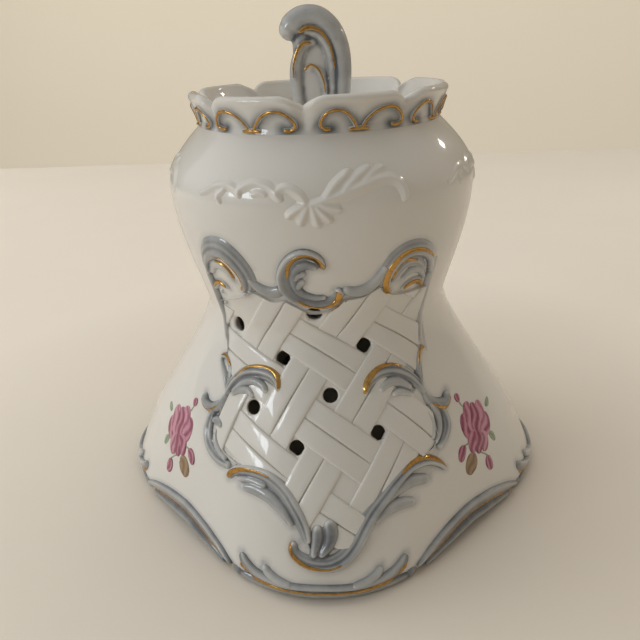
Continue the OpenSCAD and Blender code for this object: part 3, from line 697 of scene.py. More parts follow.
lowerLeft = {
    "strokes": [
        ("leaf", 2.6, 0.85, [[-28, 35.4, 1.2], [-26, 38.8, 2.1], [-21, 40.8, 2.8], [-16, 41, 3.0], [-12.4, 39.6, 3.1],
            [-9, 36.6, 3.1], [-6.2, 32, 3.0], [-4.2, 27, 2.6], [-3, 21.4, 1.5]]),
        ("round", 1.7, 0.8, [[-22.8, 35.2, 1.7], [-18.4, 36, 2.5], [-13.6, 34.8, 2.5], [-9.8, 31.4, 2.1],
            [-7, 27, 1.2]]),
        ("round", 1.5, 0.75, [[-24.6, 36.8, 1.0], [-20, 38.2, 1.6], [-15, 37.8, 1.2]])],
    "gilt": [
        [[-28.2, 35.2, 0.9], [-26.4, 38.4, 1.1], [-22.6, 40.8, 0.8], [-18, 41.6, 0.45], [-14, 41, 0.35]]]}

lowerRight = {
    "strokes": [
        ("leafBack", 2.9, 0.85, [[-6.4, 21.8, 1.3], [-6.2, 18, 2.1], [-3, 15.2, 2.7], [1.4, 14.6, 3.1],
            [5, 16.6, 3.3], [7.8, 20.6, 3.5], [10, 25.4, 3.5], [12.8, 30.4, 3.4], [16.6, 34.6, 3.2], [21, 38.2, 2.9],
            [26, 40.4, 2.6], [31.6, 40, 2.3], [36, 37, 1.8], [38.6, 33, 1.1]]),
        ("round", 1.8, 0.75, [[16, 31.8, 1.4], [20, 34.6, 2.2], [25.6, 35.6, 2.5], [31.4, 33.6, 1.8]]),
        ("round", 1.8, 0.75, [[12.8, 26.4, 1.4], [17, 29.4, 2.3], [21.4, 29.8, 2.4], [25.4, 28.2, 1.7]]),
        ("round", 2.9, 1.0, [[-0.9, 28.4, 2.0], [-0.7, 25, 2.8], [-1.1, 21, 2.4], [-1.9, 17, 1.3]]),
        ("round", 3.1, 1.0, [[1.4, 30, 2.2], [2.5, 26.4, 3.3], [1.9, 22, 2.8], [-0.4, 17.4, 1.4]])],
    "gilt": [
        [[-7.2, 21.6, 0.8], [-7, 17.8, 1.1], [-3.4, 14.4, 0.75], [1.4, 13.4, 0.4], [4.6, 14.8, 0.35]],
        [[22.6, 39.4, 0.5], [27, 41.4, 0.9], [31.8, 41, 1.1], [36.2, 38, 1.15], [38.8, 34, 0.9]]]}

garland = {
    "calm": 4,
    "strokes": [
        ("swell", 1.6, 0.0, [[-1, 143.6, 1.6], [7, 145.8, 2.6], [15, 148.4, 2.9], [22, 150.4, 2.8],
            [27.6, 149.6, 2.6], [30, 145.2, 2.2], [29.4, 142, 1.3]]),
        ("swell", 1.4, 0.0, [[4, 145.4, 1.5], [7.4, 149.4, 2.5], [11.4, 153, 2.2], [12.6, 154.6, 1.2]]),
        ("swell", 1.4, 0.0, [[9.6, 147.2, 1.5], [13.8, 151, 2.5], [18.6, 154, 2.1], [20.4, 155, 1.2]]),
        ("swell", 1.3, 0.0, [[16.4, 149.6, 1.5], [20.4, 152.6, 2.2], [25.4, 154.6, 1.6]]),
        ("swell", 1.5, 0.0, [[-1, 143.6, 1.5], [-3.6, 147.2, 2.2], [-8, 149.2, 2.3], [-11, 147.2, 2.0],
            [-8.4, 145.2, 1.3]]),
        ("swell", 1.5, 0.0, [[-9.4, 145.2, 1.4], [-12.6, 149, 2.3], [-18.2, 150.4, 2.5], [-23.4, 148.2, 2.1],
            [-23.2, 145.2, 1.3]]),
        ("swell", 1.2, 0.0, [[-13.6, 146.6, 1.3], [-16.4, 147.6, 1.9], [-19.4, 146.4, 1.3]]),
        ("swell", 1.3, 0.0, [[-22.6, 146.4, 1.4], [-27.4, 149.2, 2.1], [-33, 148.8, 2.0], [-37.6, 146.4, 1.5],
            [-41, 145.4, 1.1]]),
        ("swell", 1.3, 0.0, [[-29, 148.2, 1.2], [-32, 145.2, 1.8], [-30.4, 142.8, 1.2]]),
        ("swell", 1.8, 0.0, [[-1.2, 144.2, 1.2], [-4.8, 142, 2.2], [-8.2, 139.2, 1.8]]),
        ("swell", 1.9, 0.0, [[-0.7, 143.8, 1.2], [-2.6, 140, 2.3], [-4, 136.4, 1.8]]),
        ("swell", 1.9, 0.0, [[0.1, 143.8, 1.2], [1.2, 139.4, 2.3], [2.2, 135.6, 1.8]]),
        ("swell", 1.9, 0.0, [[1.1, 143.8, 1.2], [3.8, 140.4, 2.3], [6.4, 137.6, 1.8]]),
        ("swell", 1.7, 0.0, [[1.6, 144.4, 1.2], [5.4, 142.8, 2.1], [9.4, 141.6, 1.6]])],
    "gilt": []}

hemStrokes = [
    ("round", 1.5, 0.9, mirrored([[-20.4, 2.6, 1.6], [-17, 2.4, 2.0], [-12, 2.3, 2.1], [-6, 2.7, 2.1], [0, 3.1, 2.1]])),
    ("roll", 2.0, 0.8, mirrored([[-20.2, 11.6, 1.7], [-19, 8.8, 2.5], [-16, 6.2, 2.8], [-12.4, 5.4, 2.5],
                                 [-8, 5.2, 2.1], [0, 5.8, 1.9]]))]
for side in (-1, 1):
    curl = [[13.6, 11, 1.7], [12.6, 8.8, 2.1], [10, 6.8, 2.0], [6.6, 6.2, 1.2]]
    hemStrokes.append(("round", 1.9, 0.7, [[side * a, z, w] for a, z, w in curl]))
# the hem's grey is darkened a little further by a factor, as painted shade on the low reliefs
mainHem = {
    "melted": False, "paintedShade": 1.05, "strokes": hemStrokes,
    "gilt": [[[-20.4, 7.2, 0.7], [-17, 4.9, 0.65], [-13.6, 3.9, 0.5], [-9, 3.7, 0.4], [-4, 4.1, 0.35], [0, 4.3, 0.35],
              [4, 4.1, 0.35], [9, 3.7, 0.4], [13.6, 3.9, 0.5], [17, 5.1, 0.75], [20.2, 8.0, 0.8]]]}

# the corner hem's grey is darkened by the same factor, as painted shade
cornerHem = {
    "melted": False, "home": 45, "paintedShade": 1.05,
    "strokes": [
        ("round", 1.6, 0.95, mirrored([[-19, 1.9, 1.5], [-14, 3.6, 2.1], [-7, 5.0, 2.4], [0, 5.8, 2.4]])),
        ("roll", 1.9, 0.8, mirrored([[-21.8, 4.0, 1.6], [-17, 6.6, 2.6], [-11, 8.9, 3.0], [-5, 10.2, 3.1],
                                     [0, 10.7, 3.1]]))],
    "gilt": [mirrored([[-21.4, 2.9, 0.8], [-17.4, 4.9, 0.75], [-12, 6.9, 0.5], [-6, 8.2, 0.45], [0, 8.8, 0.4]])]}

greySpots = []


def makeRelief(relief, turn, node, share=1.0):
    # laid at the angle the relief is drawn for, then turned to its place
    bm = newClay()
    home = relief.get("home", 0)
    rise = melt["rise"] * share
    if relief.get("melted", True):
        spots = meltStrokes(bm, relief["strokes"], rise, relief.get("calm", melt["calm"]))
    else:
        spots = []
        for profile, height, shade, points in relief["strokes"]:
            # on the hem the grey is darkened by a factor, as painted shade
            spots += layStroke(bm, points, home, profile, height * rise, shade * relief["paintedShade"])
    tree = BVHTree.FromBMesh(bm)
    for points in relief["gilt"]:
        layGilt(bm, tree, points, home)
    spin = Matrix.Rotation(radians(turn - home), 3, "Z")
    greySpots.extend((spin @ spot, wide) for spot, wide in spots)
    bmesh.ops.rotate(bm, verts=bm.verts[:], cent=(0, 0, 0), matrix=spin)
    first, *rest = node.split("_")
    finishPiece(bm, first + "".join(word.capitalize() for word in rest), "bell", [glaze, gilt], [node])


for panel, turn in panels:
    for part, relief in (("crest", crest), ("left_top", leftTop), ("right_top", rightTop), ("left_side", leftSide),
                         ("right_side", rightSide), ("lower_left", lowerLeft), ("lower_right", lowerRight)):
        makeRelief(relief, turn, panel + "_" + part + "_scroll")
for k, side in enumerate(("front", "right", "back", "left")):
    # the garlands at the sides stand out less
    makeRelief(garland, 90 * k, side + "_garland", 0.55 if k % 2 else 1.0)
    makeRelief(mainHem, 90 * k, side + "_hem_scroll")
for k, corner in enumerate(("front_right", "back_right", "back_left", "front_left")):
    makeRelief(cornerHem, 90 * k + 45, corner + "_hem_scroll")
print("reliefs laid")

# basketweave on a slanted grid, with its edges as rows of [height, angle] and the top one as rows of [angle, height];
# outside and inside are the two edges of a strand as [run from the edge, height]
weave = {"pitch": 24, "turn": 9, "skew": 2, "sag": 2.5, "strapTurn": 3, "space": 7.2, "strandGap": 0.35, "middleX": 4,
         "middleHeight": 69, "crown": 1.3, "dip": 0.3, "crownPower": 0.75, "edge": 0.95, "embed": 1.3, "overlap": 0.02,
         "steps": 26, "narrowest": 0.9, "shortest": 2, "cells": range(-4, 4),
         "outside": [[0, -0.1], [0.06, 0.45], [0.3, 0.8], [0.8, 0.98], [1.6, 1.03], [3, 1.02]],
         "inside": [[2, 0.99], [0.7, 0.95], [0.25, 0.84], [0, 0.5]],
         "holes": [[0, 0], [-1, 0], [0, 1], [-1, 1], [-2, 0], [-1, -1], [0, -1], [1, 0]], "leftOut": [[-3, 0]],
         "left": [[20, -2.5], [29, -4.8], [33.5, -7], [37.5, -10], [40, -14], [42, -30], [44, -38], [56, -38],
                  [63, -37], [74, -41], [94, -48], [110, -49]],
         "right": [[20, 7], [30, 12.3], [34, 16.2], [37.5, 20], [40, 26], [43, 36.5], [46.5, 39], [56, 40], [63, 39],
                   [74, 42], [94, 47], [110, 48]],
         "top": [[-52, 98], [-44, 100.5], [-36, 103.5], [-29, 106], [-26, 109.5], [-22, 108], [-17, 105.5],
                 [-12, 106.5], [-8, 104], [-3, 101], [2, 101], [7, 103], [10, 106.5], [17, 107], [22, 110],
                 [25, 111.5], [28, 106], [34, 105], [44, 105], [52, 104]]}
weaveSlant = sqrt(1 + ((bodyRadius(0, bell["hemBand"]) - bell["waistRadius"])
                       / (bell["waistHeight"] - bell["hemBand"] - bell["waistBlend"])) ** 2)


def along(rows, x):
    # straight lines between the rows of a table
    for (xa, ya), (xb, yb) in zip(rows, rows[1:]):
        if x <= xb:
            return ya + (yb - ya) * clamp01((x - xa) / (xb - xa))
    return rows[-1][1]


def inFrame(a, z):
    # the nearest place inside the panel's frame
    z = min(max(z, weave["left"][0][0]), along(weave["top"], a))
    return min(max(a, along(weave["left"], z)), along(weave["right"], z)), z


def weavePlace(i, j):
    p = weave["pitch"]
    down, up = radians(45 - weave["turn"] + weave["skew"]), radians(45 + weave["turn"] + weave["skew"])
    x = weave["middleX"] + p * (i * cos(down) + j * cos(up))
    v = ((weave["middleHeight"] - bell["waistHeight"]) * weaveSlant + p * (j * sin(up) - i * sin(down))
         - weave["sag"] * (x / p) ** 2)
    z = bell["waistHeight"] + (v / weaveSlant if v < 0 else v)
    share = min(max(x / bodyRadius(0, z), -1), 1)
    return degrees(atan2(share, sqrt(1 - share * share))), z


def onStrap(i, j, t, s):
    # straps lie over and under by turns
    p, q = (t, s) if (i + j) % 2 else (s, t)
    c, d = cos(radians(weave["strapTurn"])), sin(radians(weave["strapTurn"]))
    return inFrame(*weavePlace(i + 0.5 + p * c - q * d, j + 0.5 + p * d + q * c))


def tipOf(ring):
    return [sum(ring[:-1], Vector()) / (len(ring) - 1)] * len(ring)


def layStrand(bm, i, j, side, turn):
    w = weave
    outer = (w["pitch"] - w["space"]) / w["pitch"] / 2
    inner = w["strandGap"] / w["pitch"] / 2
    middle = (outer + inner) / 2
    reach = (w["pitch"] + w["space"]) / 2 / w["pitch"] + w["overlap"]
    edge = w["edge"] / w["pitch"]
    # from the strap's long edge to the crease between its two strands
    line = [(outer - s * edge, h) for s, h in w["outside"]] + [(middle, 1.0)]
    line += [(inner + s * edge, h) for s, h in w["inside"]]
    rings = []
    for k in range(w["steps"] + 1):
        t = -reach + 2 * reach * k / w["steps"]
        arch = max(0.0, cos(pi / 2 * min(abs(t) / reach, 1))) ** w["crownPower"]
        crown = w["dip"] + (w["crown"] - w["dip"]) * arch
        ring = []
        for s, h in line:
            a, z = onStrap(i, j, t, side * s)
            ring.append(onBody(a + turn, z) + bodyNormal(a + turn, z) * (crown * h))
        for s in (inner, middle, outer):
            a, z = onStrap(i, j, t, side * s)
            ring.append(onBody(a + turn, z, -w["embed"]))
        # at the panel's frame a strand narrows away
        if max((p - q).length for p in ring[:11:5] for q in ring[:11:5]) > w["narrowest"]:
            rings.append(ring + [ring[0]])
    if len(rings) >= 4 and (rings[0][5] - rings[-1][5]).length >= w["shortest"]:
        skin(bm, [tipOf(rings[0])] + rings + [tipOf(rings[-1])])


def makeWeave(panel, turn):
    bm = newClay()
    for i in weave["cells"]:
        for j in weave["cells"]:
            if [i, j] not in weave["leftOut"]:
                for side in (-1, 1):
                    layStrand(bm, i, j, side, turn)
    finishPiece(bm, panel + "Basketweave", "bell", [glaze], [panel + "_lattice"], sharp=48)


for panel, turn in panels:
    makeWeave(panel, turn)
print("basketweave woven")

deck = {"edge": 5, "edgeRise": 0.8, "bend": 0.7, "underEdge": 0.5, "underRise": 1, "steps": 4, "underSteps": 3}


def turnBody():
    # a turned wall, whose lower part is then pushed out to eight arched sides
    b = bell
    high, wall = b["neckHeight"], b["wall"]
    top = high + b["deckRise"]
    bend = ((b["neckRadius"] + b["deckFlat"]) / 2, high + b["deckRise"] * deck["bend"])
    line = [(turnedRadius(z), z) for z in [k * high / b["outerRows"] for k in range(b["outerRows"] + 1)]]
    line += smoothPath([line[-1], (b["neckRadius"] - deck["edge"], high + deck["edgeRise"]), bend,
                        (b["deckFlat"], top), (0, top)], deck["steps"])[1:]
    line += smoothPath([(0, top - wall), (b["deckFlat"], top - wall), (bend[0], bend[1] - wall),
                        (b["neckRadius"] - wall + deck["underEdge"], high - wall + deck["underRise"])],
                       deck["underSteps"])
    line += [(turnedRadius(z) - wall, z) for z in
             [k * (high - wall) / b["innerRows"] for k in range(b["innerRows"], -1, -1)]]
    bm = bmesh.new()
    spinLine(bm, line, b["around"], closed=True, front=True)
    bmesh.ops.remove_doubles(bm, verts=bm.verts[:], dist=small["weld"])
    for v in bm.verts:
        a, r, z = angleOf(v.co), hypot(v.co.x, v.co.y), v.co.z
        if z > high - 0.01 or r < b["neckRadius"] - wall + 1:
            continue       # deck
        h = archedHeight(a, z)
        p = onBody(a, h)
        if r < turnedRadius(z) - 0.5:      # inner side of the wall
            p -= (polar(a, 1, 0) if h < b["hemBand"] else bodyNormal(a, h)) * wall
        v.co = p
    bmesh.ops.recalc_face_normals(bm, faces=bm.faces[:])
    return newObject(bm, "bellBody")


def makeCutter():
    # pierced holes, each with a soft glazed lip
    lip, r, reach = bell["holeLip"], bell["holeRadius"], bell["holeReach"]
    line = [(0, -reach), (r + bell["holeFlare"], -reach), (r, -lip)]
    line += [(r + lip * (1 - cos(t)), -lip + lip * sin(t)) for t in (pi / 8, pi / 4, 3 * pi / 8)]
    line += [(r + lip, 0.05), (r + lip, 2), (0, 2)]
    cutter = bmesh.new()
    for panel, turn in panels:
        for i, j in weave["holes"]:
            a, z = weavePlace(i, j)
            hole = bmesh.new()
            spinLine(hole, line, bell["holeAround"])
            bmesh.ops.remove_doubles(hole, verts=hole.verts[:], dist=small["weld"])
            bmesh.ops.recalc_face_normals(hole, faces=hole.faces[:])
            aim = Vector((0, 0, 1)).rotation_difference(bodyNormal(a + turn, z)).to_matrix().to_4x4()
            joinIn(cutter, hole, Matrix.Translation(onBody(a + turn, z)) @ aim)
    return newObject(cutter, "cutter")


# grey wash that has run from the scrolls onto the white ground: its nearest spots, width, share and softness
halo = {"top": 160, "spots": 4, "inside": 0.8, "reach": 2.2, "spread": 0.5, "strength": 0.62, "power": 1.4}


def makeBody():
    body, cutter = turnBody(), makeCutter()
    pierce = body.modifiers.new("pierce", "BOOLEAN")
    pierce.operation = "DIFFERENCE"
    pierce.solver = "EXACT"
    pierce.object = cutter
    bm = appliedMesh(body)
    bpy.data.objects.remove(cutter)
    near = KDTree(len(greySpots))
    for k, (spot, wide) in enumerate(greySpots):
        near.insert(spot, k)
    near.balance()
    tint = bm.verts.layers.float.new("tint")
    for v in bm.verts:
        if v.co.z > halo["top"]:
            continue
        best = 0.0
        for spot, k, d in near.find_n(v.co, halo["spots"]):
            wide = greySpots[k][1]
            best = max(best, 1 - (d - wide * halo["inside"]) / (halo["reach"] + halo["spread"] * wide))
        v[tint] = halo["strength"] * clamp01(best) ** halo["power"]
    finishPiece(bm, "bellBody", "bell", [glaze], ["bell_shell"], sharp=50, merge=False)


makeBody()
print("body turned and pierced")

# lobed collar with two C-scrolls on each lobe, as [share of half a lobe, height share]
collar = {"lobes": 8, "height": 11.4, "rim": 52.5, "thick": 3.6, "foot": 1.4, "low": 1.2, "flare": 1.7, "slope": -0.25,
          "notchDepth": 3.4, "notchInset": 1.6, "notchHalf": 9, "notchPower": 1.6, "twist": -3, "embed": 3,
          "valley": 1.7, "valleyHalf": 2.6, "valleyRise": 1.6, "around": 320, "rows": 16, "rollSteps": 8,
          "field": {"deep": 0.8, "top": 0.7, "start": 0.02, "wide": 0.84, "edge": 0.16, "low": 0.2},
          "inside": {"shares": (0.3, 0.6, 0.85, 1), "bulge": 0.4, "low": 1.6},
          # the share that greys the lower collar towards its foot is painted shade
          "grey": {"least": 0.18, "low": 0.26, "lowTop": 0.72, "near": 0.56, "nearShare": 1.25, "nearWidth": 3.2,
                   "end": 1.04, "under": 0.3, "rim": 0.05, "inside": 0.12, "foot": 0.1},
          "scroll": [[0.05, 0.14], [0.14, 0.38], [0.29, 0.62], [0.48, 0.72], [0.66, 0.66], [0.79, 0.47],
                     [0.81, 0.25], [0.71, 0.12], [0.6, 0.14]],
          "bar": [[-0.2, 0.09], [0, 0.11], [0.2, 0.09]],
          "scrollWide": 0.85, "scrollShade": 0.6, "barWide": 0.9, "barShade": 0.4, "relief": 0.9, "reliefEmbed": 1.4,
          "goldReach": 3.0, "goldThick": 0.14,
          "scrollGold": [0.42, 0.45, 0.52, 0.6, 0.56, 0.5, 0.58, 0.72, 0.66], "barGold": [0.7, 0.7, 0.7],
          "stretch": [0.84, 1.08, 1.03, 1.0, 1.05, 0.98, 0.95, 1.04, 1.0, 0.93, 1.06, 1.02, 0.98, 1.04, 1.03, 1.06]}


def fromNotch(a):
    # angle to the nearest notch
    step = 360 / collar["lobes"]
    return abs((a - collar["twist"] + step / 2) % step - step / 2)


def collarOuter(a, v):
    # a point on the outer side, v from 0 at the foot to 1 at the rim
    c, field = collar, collar["field"]
    rise = 1 - (1 - min(fromNotch(a) / c["notchHalf"], 1)) ** c["notchPower"]
    top = bell["neckHeight"] + c["height"] - c["notchDepth"] * (1 - rise) - c["thick"] / 2
    rim = c["rim"] - c["notchInset"] * (1 - rise)
    foot = bell["neckRadius"] + c["foot"]
    low = bell["neckHeight"] - c["low"]
    valley = exp(-(fromNotch(a) / c["valleyHalf"]) ** 2) * sin(pi / 2 * clamp01(v * c["valleyRise"]))
    # the field inside each C lies a little deeper than the lobe's rolled margin
    q = 1 - fromNotch(a) * c["lobes"] / 180
    arch = field["top"] * sqrt(max(0.0, sin(pi * clamp01((q - field["start"]) / field["wide"]))))
    sunk = field["deep"] * clamp01((arch - v) / field["edge"]) * clamp01(v / field["low"])
    return polar(a, foot + (rim - foot) * v ** c["flare"] - c["valley"] * valley - sunk, low + (top - low) * v)


def collarNormal(a, v):
    return polar(a, 1, collar["slope"]).normalized()


def onLobe(k, line, side=1, stretch=1.0):
    half = 180 / collar["lobes"]
    return [[collar["twist"] + (2 * k + 1 + side * q * stretch) * half, v] for q, v in line]


def stretchOf(k, side):
    return collar["stretch"][2 * k + (side > 0)]


def makeCollar():
    c, grey, inside = collar, collar["grey"], collar["inside"]
    bm = newClay()
    scroll = smoothPath(c["scroll"], 4)
    spots = [collarOuter(a, v) for k in range(c["lobes"]) for side in (-1, 1)
             for a, v in onLobe(k, scroll, side, stretchOf(k, side))]
    marks = KDTree(len(spots))
    for k, spot in enumerate(spots):
        marks.insert(spot, k)
    marks.balance()
    rings, tints = [], []
    for k in range(c["around"] + 1):
        a = c["twist"] + 360 * k / c["around"]
        ring, row = [collarOuter(a, 0) - Vector((0, 0, c["embed"] - c["low"]))], [grey["under"]]
        for s in range(c["rows"] + 1):
            v = s / c["rows"]
            ring.append(collarOuter(a, v))
            # greyer round the scrolls, greyer towards the foot as painted shade under the flaring lobes, white at the
            # rim
            near = clamp01(grey["nearShare"] - marks.find(ring[-1])[2] / grey["nearWidth"])
            wash = grey["least"] + grey["low"] * clamp01((grey["lowTop"] - v) * 2.5) + grey["near"] * near
            row.append(clamp01(wash) * clamp01((grey["end"] - v) * 5))
        rim, out, r = ring[-1], polar(a, 1, 0), c["thick"] / 2
        for s in range(1, c["rollSteps"] + 1):
            t = pi * s / c["rollSteps"]
            ring.append(rim + out * (r * (cos(t) - 1)) + Vector((0, 0, r * sin(t))))
            row.append(grey["rim"])
        base, last = out * (bell["neckRadius"] + c["foot"] - c["thick"]), ring[-1]
        for s in inside["shares"]:
            p = last.lerp(Vector((base.x, base.y, bell["neckHeight"] + inside["low"])), s)
            ring.append(p - out * (inside["bulge"] * sin(pi * s)))
            row.append(grey["inside"])
        ring.append(Vector((base.x, base.y, bell["neckHeight"] - c["embed"])))
        row.append(grey["foot"])
        rings.append(ring + [ring[0]])
        tints.append(row + [row[0]])
    skin(bm, rings, tints)
    finishPiece(bm, "crownCollar", "bell", [glaze], ["crown_collar"])


def makeCollarScrolls():
    c = collar
    bm = newClay()
    lines = []
    for k in range(c["lobes"]):
        strokes = [(onLobe(k, c["scroll"], side, stretchOf(k, side)), c["scrollWide"], c["scrollShade"],
                    c["scrollGold"]) for side in (-1, 1)]
        strokes.append((onLobe(k, c["bar"]), c["barWide"], c["barShade"], c["barGold"]))
        for points, wide, shade, goldWidths in strokes:
            layStroke(bm, [[a, v, wide] for a, v in points], height=c["relief"], shade=shade, place=collarOuter,
                      normal=collarNormal, spacing=0.7, embed=c["reliefEmbed"])
            lines.append([[a, v, w] for (a, v), w in zip(points, goldWidths)])
    tree = BVHTree.FromBMesh(bm)
    for line in lines:
        layGilt(bm, tree, line, place=collarOuter, normal=collarNormal, reach=c["goldReach"], thick=c["goldThick"])
    finishPiece(bm, "collarScrolls", "bell", [glaze, gilt], ["collar_scrolls"])


makeCollar()
makeCollarScrolls()
print("collar and its scrolls made")

# handle: each plume as stations of [x, z, half width] and its half depth
handle = {
    "plumes": [([[8.6, 167, 3.6], [9.6, 175, 3.8], [10.1, 184, 3.8], [9.1, 191.2, 4.0], [6, 197.6, 4.3],
                 [1, 201.5, 4.6], [-4.6, 201.8, 4.9], [-8.9, 199.6, 4.9], [-10.4, 198.2, 4.2]], 6.0),
               ([[5.5, 167, 2.8], [6.3, 176, 2.8], [6.4, 184, 2.8], [5, 190.5, 2.7], [1.6, 195.4, 2.4],
                 [-3.4, 197.2, 1.8]], 5.0),
               ([[-6.6, 167, 2.6], [-8, 175, 2.8], [-8.2, 182, 3.0], [-7, 188, 2.8], [-4.2, 192, 2.2],
                 [-1.2, 193.2, 1.5]], 5.0),
               ([[3.4, 168, 1.7], [3.3, 176, 1.9], [1.6, 181.5, 1.9], [-1.2, 184, 1.6], [-4, 183.8, 1.2]], 4.4),
               ([[-1.5, 166, 7.2], [-1.5, 176, 7.6], [-1, 184, 7.2], [0, 191, 6.4], [1, 197, 4.4]], 3.2),
               ([[-6.4, 184, 2.4], [-6.2, 190, 3.2], [-5.4, 195, 3.6], [-2, 198, 3.0]], 3.4)],
    "gilt": [[[-6.2, 196.9, 0.7], [-2.6, 198.4, 0.85], [1.8, 197.2, 0.6], [5.2, 193, 0.4], [6.9, 187.4, 0.32],
              [7.2, 183.6, 0.25]],
             [[-9.2, 180.6, 0.3], [-8.8, 186, 0.42], [-6.8, 190.8, 0.65], [-4.2, 193.2, 0.75], [-1.4, 192.9, 0.6]],
             [[-4.6, 183.2, 0.5], [-2.4, 185.2, 0.5], [0.6, 183.8, 0.42], [2.6, 179.6, 0.36], [3.4, 174.6, 0.3]]],
    "sides": 28, "leastDepth": 0.55, "caps": (0.35, 0.65, 0.88, 1.0), "voxel": 0.55, "rounds": 3, "sunk": 1,
    "web": {"half": 3.9, "left": -6.5, "right": 5, "top": 196, "softHalf": 0.7, "softSide": 2, "softTop": 6},
    "shade": 0.82, "hollow": 9.0, "webShade": 0.5, "goldOut": 6, "goldReach": 9.0}


def layPlume(bm, stations, depth):
    path = smoothPath(stations, 6)
    spots = [Vector((x, 0, z)) for x, z, w in path]
    widest = max(w for x, z, w in path)
    least = handle["leastDepth"]
    turns = [2 * pi * k / handle["sides"] for k in range(handle["sides"])]
    rings = []
    for i, (x, z, w) in enumerate(path):
        across = aheadAt(spots, i).cross(Vector((0, 1, 0)))
        d = depth * (least + (1 - least) * min(1.0, w / widest))
        ring = [spots[i] + across * (w * cos(t)) + Vector((0, d * sin(t), 0)) for t in turns]
        rings.append(ring + [ring[0]])
    for end, beside in ((0, 1), (-1, -2)):
        out = (spots[end] - spots[beside]).normalized()
        caps = [[spots[end] + out * (path[end][2] * share) + (q - spots[end]) * sqrt(1 - share * share)
                 for q in rings[end]] for share in handle["caps"]]
        rings = caps[::-1] + rings if end == 0 else rings + caps
    skin(bm, rings)


def makeHandle():
    web = handle["web"]
    bm = newClay()
    for stations, depth in handle["plumes"]:
        layPlume(bm, stations, depth)
    bmesh.ops.remove_doubles(bm, verts=bm.verts[:], dist=small["merge"])
    bmesh.ops.recalc_face_normals(bm, faces=bm.faces[:])
    clay = newObject(bm, "plumes")
    blend = clay.modifiers.new("blend", "REMESH")
    blend.mode = "VOXEL"
    blend.voxel_size = handle["voxel"]
    bm = appliedMesh(clay)
    for k in range(handle["rounds"]):
        bmesh.ops.smooth_vert(bm, verts=bm.verts[:], factor=0.5, use_axis_x=True, use_axis_y=True, use_axis_z=True)
    floor = bell["neckHeight"] + bell["deckRise"] - handle["sunk"]
    bmesh.ops.bisect_plane(bm, geom=bm.verts[:] + bm.edges[:] + bm.faces[:], plane_co=(0, 0, floor),
                           plane_no=(0, 0, -1), clear_outer=True)
    bmesh.ops.holes_fill(bm, edges=[e for e in bm.edges if e.is_boundary])
    tree = BVHTree.FromBMesh(bm)
    tint = bm.verts.layers.float.get("tint") or bm.verts.layers.float.new("tint")
    for v in bm.verts:
        # the web between the plumes stays whitish; hollows take more grey, as pooled glaze and as painted shade, and
        # ridges stay paler as painted highlight
        x, y, z = v.co
        hollow = sum((e.other_vert(v).co - v.co).dot(v.normal) for e in v.link_edges) / max(len(v.link_edges), 1)
        inWeb = 1.0
        for room, soft in ((web["half"] - abs(y), web["softHalf"]), (x - web["left"], web["softSide"]),
                           (web["right"] - x, web["softSide"]), (web["top"] - z, web["softTop"])):
            inWeb *= clamp01(room / soft)
        v[tint] = clamp01(handle["shade"] + handle["hollow"] * hollow - handle["webShade"] * inWeb)
    for face in (1, -1):
        for points in handle["gilt"]:
            layGilt(bm, tree, points, place=lambda x, z: Vector((x, -handle["goldOut"] * face, z)),
                    normal=lambda x, z: Vector((0, -face, 0)), reach=handle["goldReach"])
    finishPiece(bm, "scrollHandle", "bell", [glaze, gilt], ["scroll_handle"], merge=False)


makeHandle()
print("handle modelled")

feet = {"radius": 4.5, "flutes": 5, "swell": 0.07, "narrow": 0.84, "cut": 50, "flatten": 0.8, "tint": 0.9,
        "washHeight": 3, "washWidth": 4, "around": 40, "rows": 24}


def makeFeet():
    bm = newClay()
    tint = bm.verts.layers.float["tint"]
    r = feet["radius"]
    low = r * sin(radians(feet["cut"]))
    for k in range(4):
        for side in (-1, 1):
            a = 90 * k + side * bell["mainHalf"]
            made = bmesh.ops.create_uvsphere(bm, u_segments=feet["around"], v_segments=feet["rows"], radius=r)["verts"]
            for v in made:
                x, y, z = v.co
                swell = 1 + feet["swell"] * cos(feet["flutes"] * atan2(x, -y)) * clamp01(1 - abs(z) / r)
                # a level underside to stand on
                v.co = Vector((x * swell * feet["narrow"], y * swell * feet["narrow"],
                               (max(z, -low) + low) * feet["flatten"]))
                v[tint] = feet["tint"]
            spot = polar(a, bell["hemRadius"] - bell["hemTuck"] - bell["wall"] / 2, 0)
            bmesh.ops.rotate(bm, verts=made, cent=(0, 0, 0), matrix=Matrix.Rotation(radians(a), 3, "Z"))
            bmesh.ops.translate(bm, verts=made, vec=spot)
            greySpots.append((spot + Vector((0, 0, feet["washHeight"])), feet["washWidth"]))
    finishPiece(bm, "knuckleFeet", "bell", [glaze], ["hem_feet"])


makeFeet()

